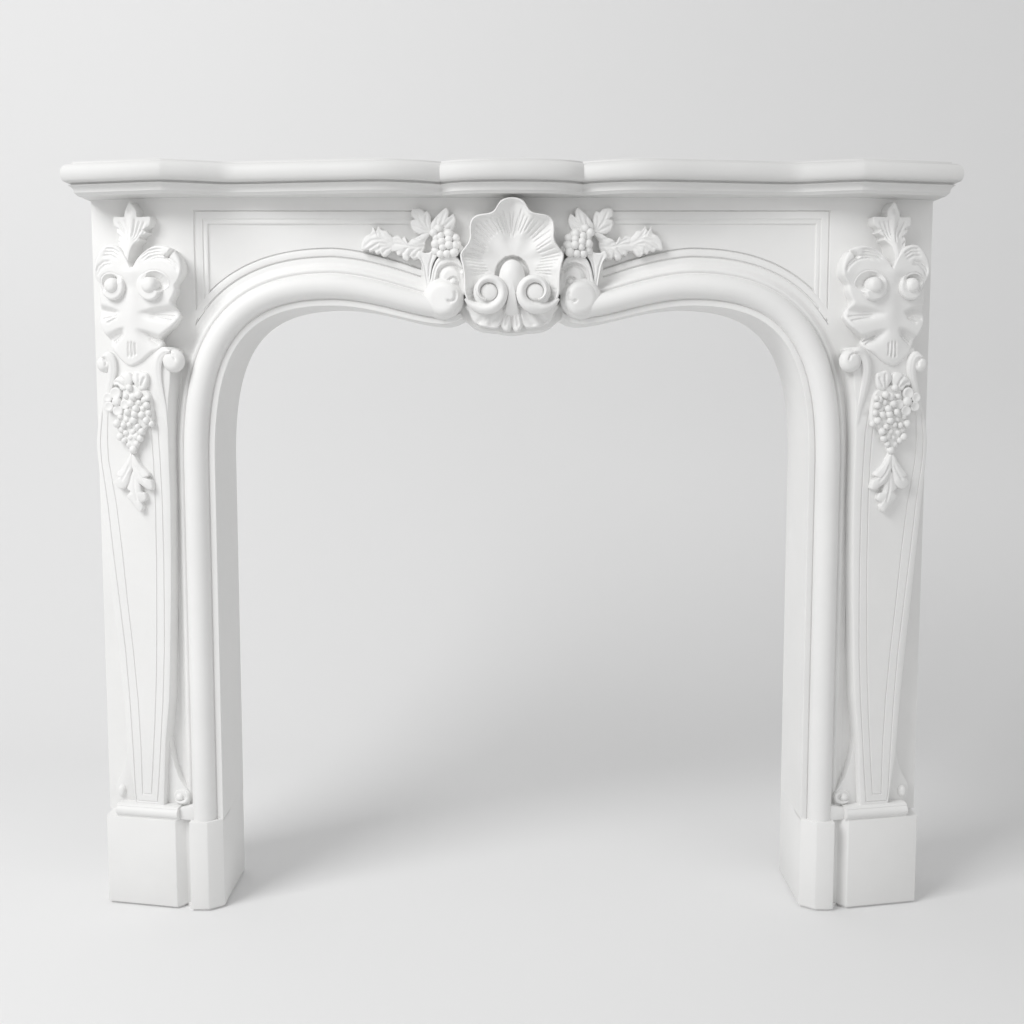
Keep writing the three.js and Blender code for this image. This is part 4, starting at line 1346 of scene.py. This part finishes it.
class MANTEL_OT_jamb_carving(bpy.types.Operator):
    """Corner shell, finial leaf, grapes and leaf pendant of each jamb"""

    bl_idname = "mantel.jamb_carving"
    bl_label = "Carve jambs"

    def execute(self, context):
        def maker(bm, lay):
            corner_shell(bm, lay)
            finial_leaf(bm, lay)
            grape_drop(bm, lay)
            leaf_pendant(bm, lay)

        build(context, maker, "jamb_carving", "carved_stone", sides=("left", "right"))
        return {"FINISHED"}


def area_light(name, place, aim, size, power):
    """Square soft light turned towards a point"""
    data = bpy.data.lights.new(name, "AREA")
    data.shape = "SQUARE"
    data.size = size
    data.energy = power
    light = bpy.data.objects.new(name, data)
    bpy.context.scene.collection.objects.link(light)
    light.location = place
    light.rotation_euler = (Vector(aim) - Vector(place)).to_track_quat("-Z", "Y").to_euler()


def backdrop(colour):
    """Floor that curves up into a wall behind the mantel"""
    back = 1.5
    bend = 0.8
    curve = [(-6.0, 0.0), (back - bend, 0.0)]
    curve += [(back - bend + bend * math.sin(a), bend - bend * math.cos(a))
              for a in (math.pi / 2 * k / 16 for k in range(1, 17))]
    curve.append((back, 5.0))
    bm = bmesh.new()
    patch(bm, 1, len(curve) - 1, lambda i, j: Vector((-7.0 + 14.0 * i, *curve[j])))
    bmesh.ops.recalc_face_normals(bm, faces=bm.faces)
    mesh = bpy.data.meshes.new("floor")
    bm.to_mesh(mesh)
    bm.free()
    mesh.shade_smooth()
    paint = bpy.data.materials.new("floor_paint")
    paint.use_nodes = True
    shader = paint.node_tree.nodes["Principled BSDF"]
    shader.inputs["Base Color"].default_value = (*colour, 1.0)
    shader.inputs["Roughness"].default_value = 0.9
    mesh.materials.append(paint)
    floor = bpy.data.objects.new("floor", mesh)
    bpy.context.scene.collection.objects.link(floor)


class MANTEL_OT_stage(bpy.types.Operator):
    """Pale floor running up behind, soft light and the camera"""

    bl_idname = "mantel.stage"
    bl_label = "Set the stage"

    def execute(self, context):
        look = context.scene.mantel_stage
        backdrop(look.floor)
        middle = (0, 0, 0.6)
        area_light("key", (-2.2, -2.0, 3.0), middle, 1.8, look.key)
        area_light("fill", (2.3, -3.2, 2.3), middle, 2.6, look.key * look.fill)
        world = bpy.data.worlds.new("soft_sky")
        world.use_nodes = True
        background = world.node_tree.nodes["Background"]
        background.inputs["Color"].default_value = (1.0, 1.0, 1.0, 1.0)
        background.inputs["Strength"].default_value = look.sky
        context.scene.world = world
        data = bpy.data.cameras.new("camera")
        data.lens = look.lens
        camera = bpy.data.objects.new("camera", data)
        context.scene.collection.objects.link(camera)
        camera.location = (0.0, -look.distance, look.eye_height)
        camera.rotation_euler = (math.radians(90) - look.pitch, 0.0, 0.0)
        context.scene.camera = camera
        context.scene.view_settings.view_transform = "Standard"
        return {"FINISHED"}


class MANTEL_PT_panel(bpy.types.Panel):
    """Sizes, finish and steps of the mantel"""

    bl_idname = "MANTEL_PT_panel"
    bl_label = "Carved mantel"
    bl_space_type = "VIEW_3D"
    bl_region_type = "UI"
    bl_category = "Mantel"

    def draw(self, context):
        scene = context.scene
        for group in (scene.mantel_sizes, scene.mantel_carving, scene.mantel_stone, scene.mantel_stage):
            box = self.layout.box()
            for name in group.__annotations__:
                box.prop(group, name)
        for operator in STEPS:
            self.layout.operator(operator.bl_idname)


STEPS = (MANTEL_OT_stage, MANTEL_OT_shelf, MANTEL_OT_frieze, MANTEL_OT_centre_shell, MANTEL_OT_sprays,
         MANTEL_OT_jambs, MANTEL_OT_jamb_carving)
GROUPS = {"mantel_sizes": MantelSizes, "mantel_carving": CarvingSizes, "mantel_stone": StoneFinish,
          "mantel_stage": StageLook}


def register():
    for cls in (*GROUPS.values(), *STEPS, MANTEL_PT_panel):
        bpy.utils.register_class(cls)
    for name, cls in GROUPS.items():
        setattr(bpy.types.Scene, name, bpy.props.PointerProperty(type=cls))


def unregister():
    for name in GROUPS:
        delattr(bpy.types.Scene, name)
    for cls in (MANTEL_PT_panel, *reversed(STEPS), *reversed(tuple(GROUPS.values()))):
        bpy.utils.unregister_class(cls)


def main():
    register()
    for operator in STEPS:
        family, verb = operator.bl_idname.split(".")
        getattr(getattr(bpy.ops, family), verb)()


if __name__ == "__main__":
    main()
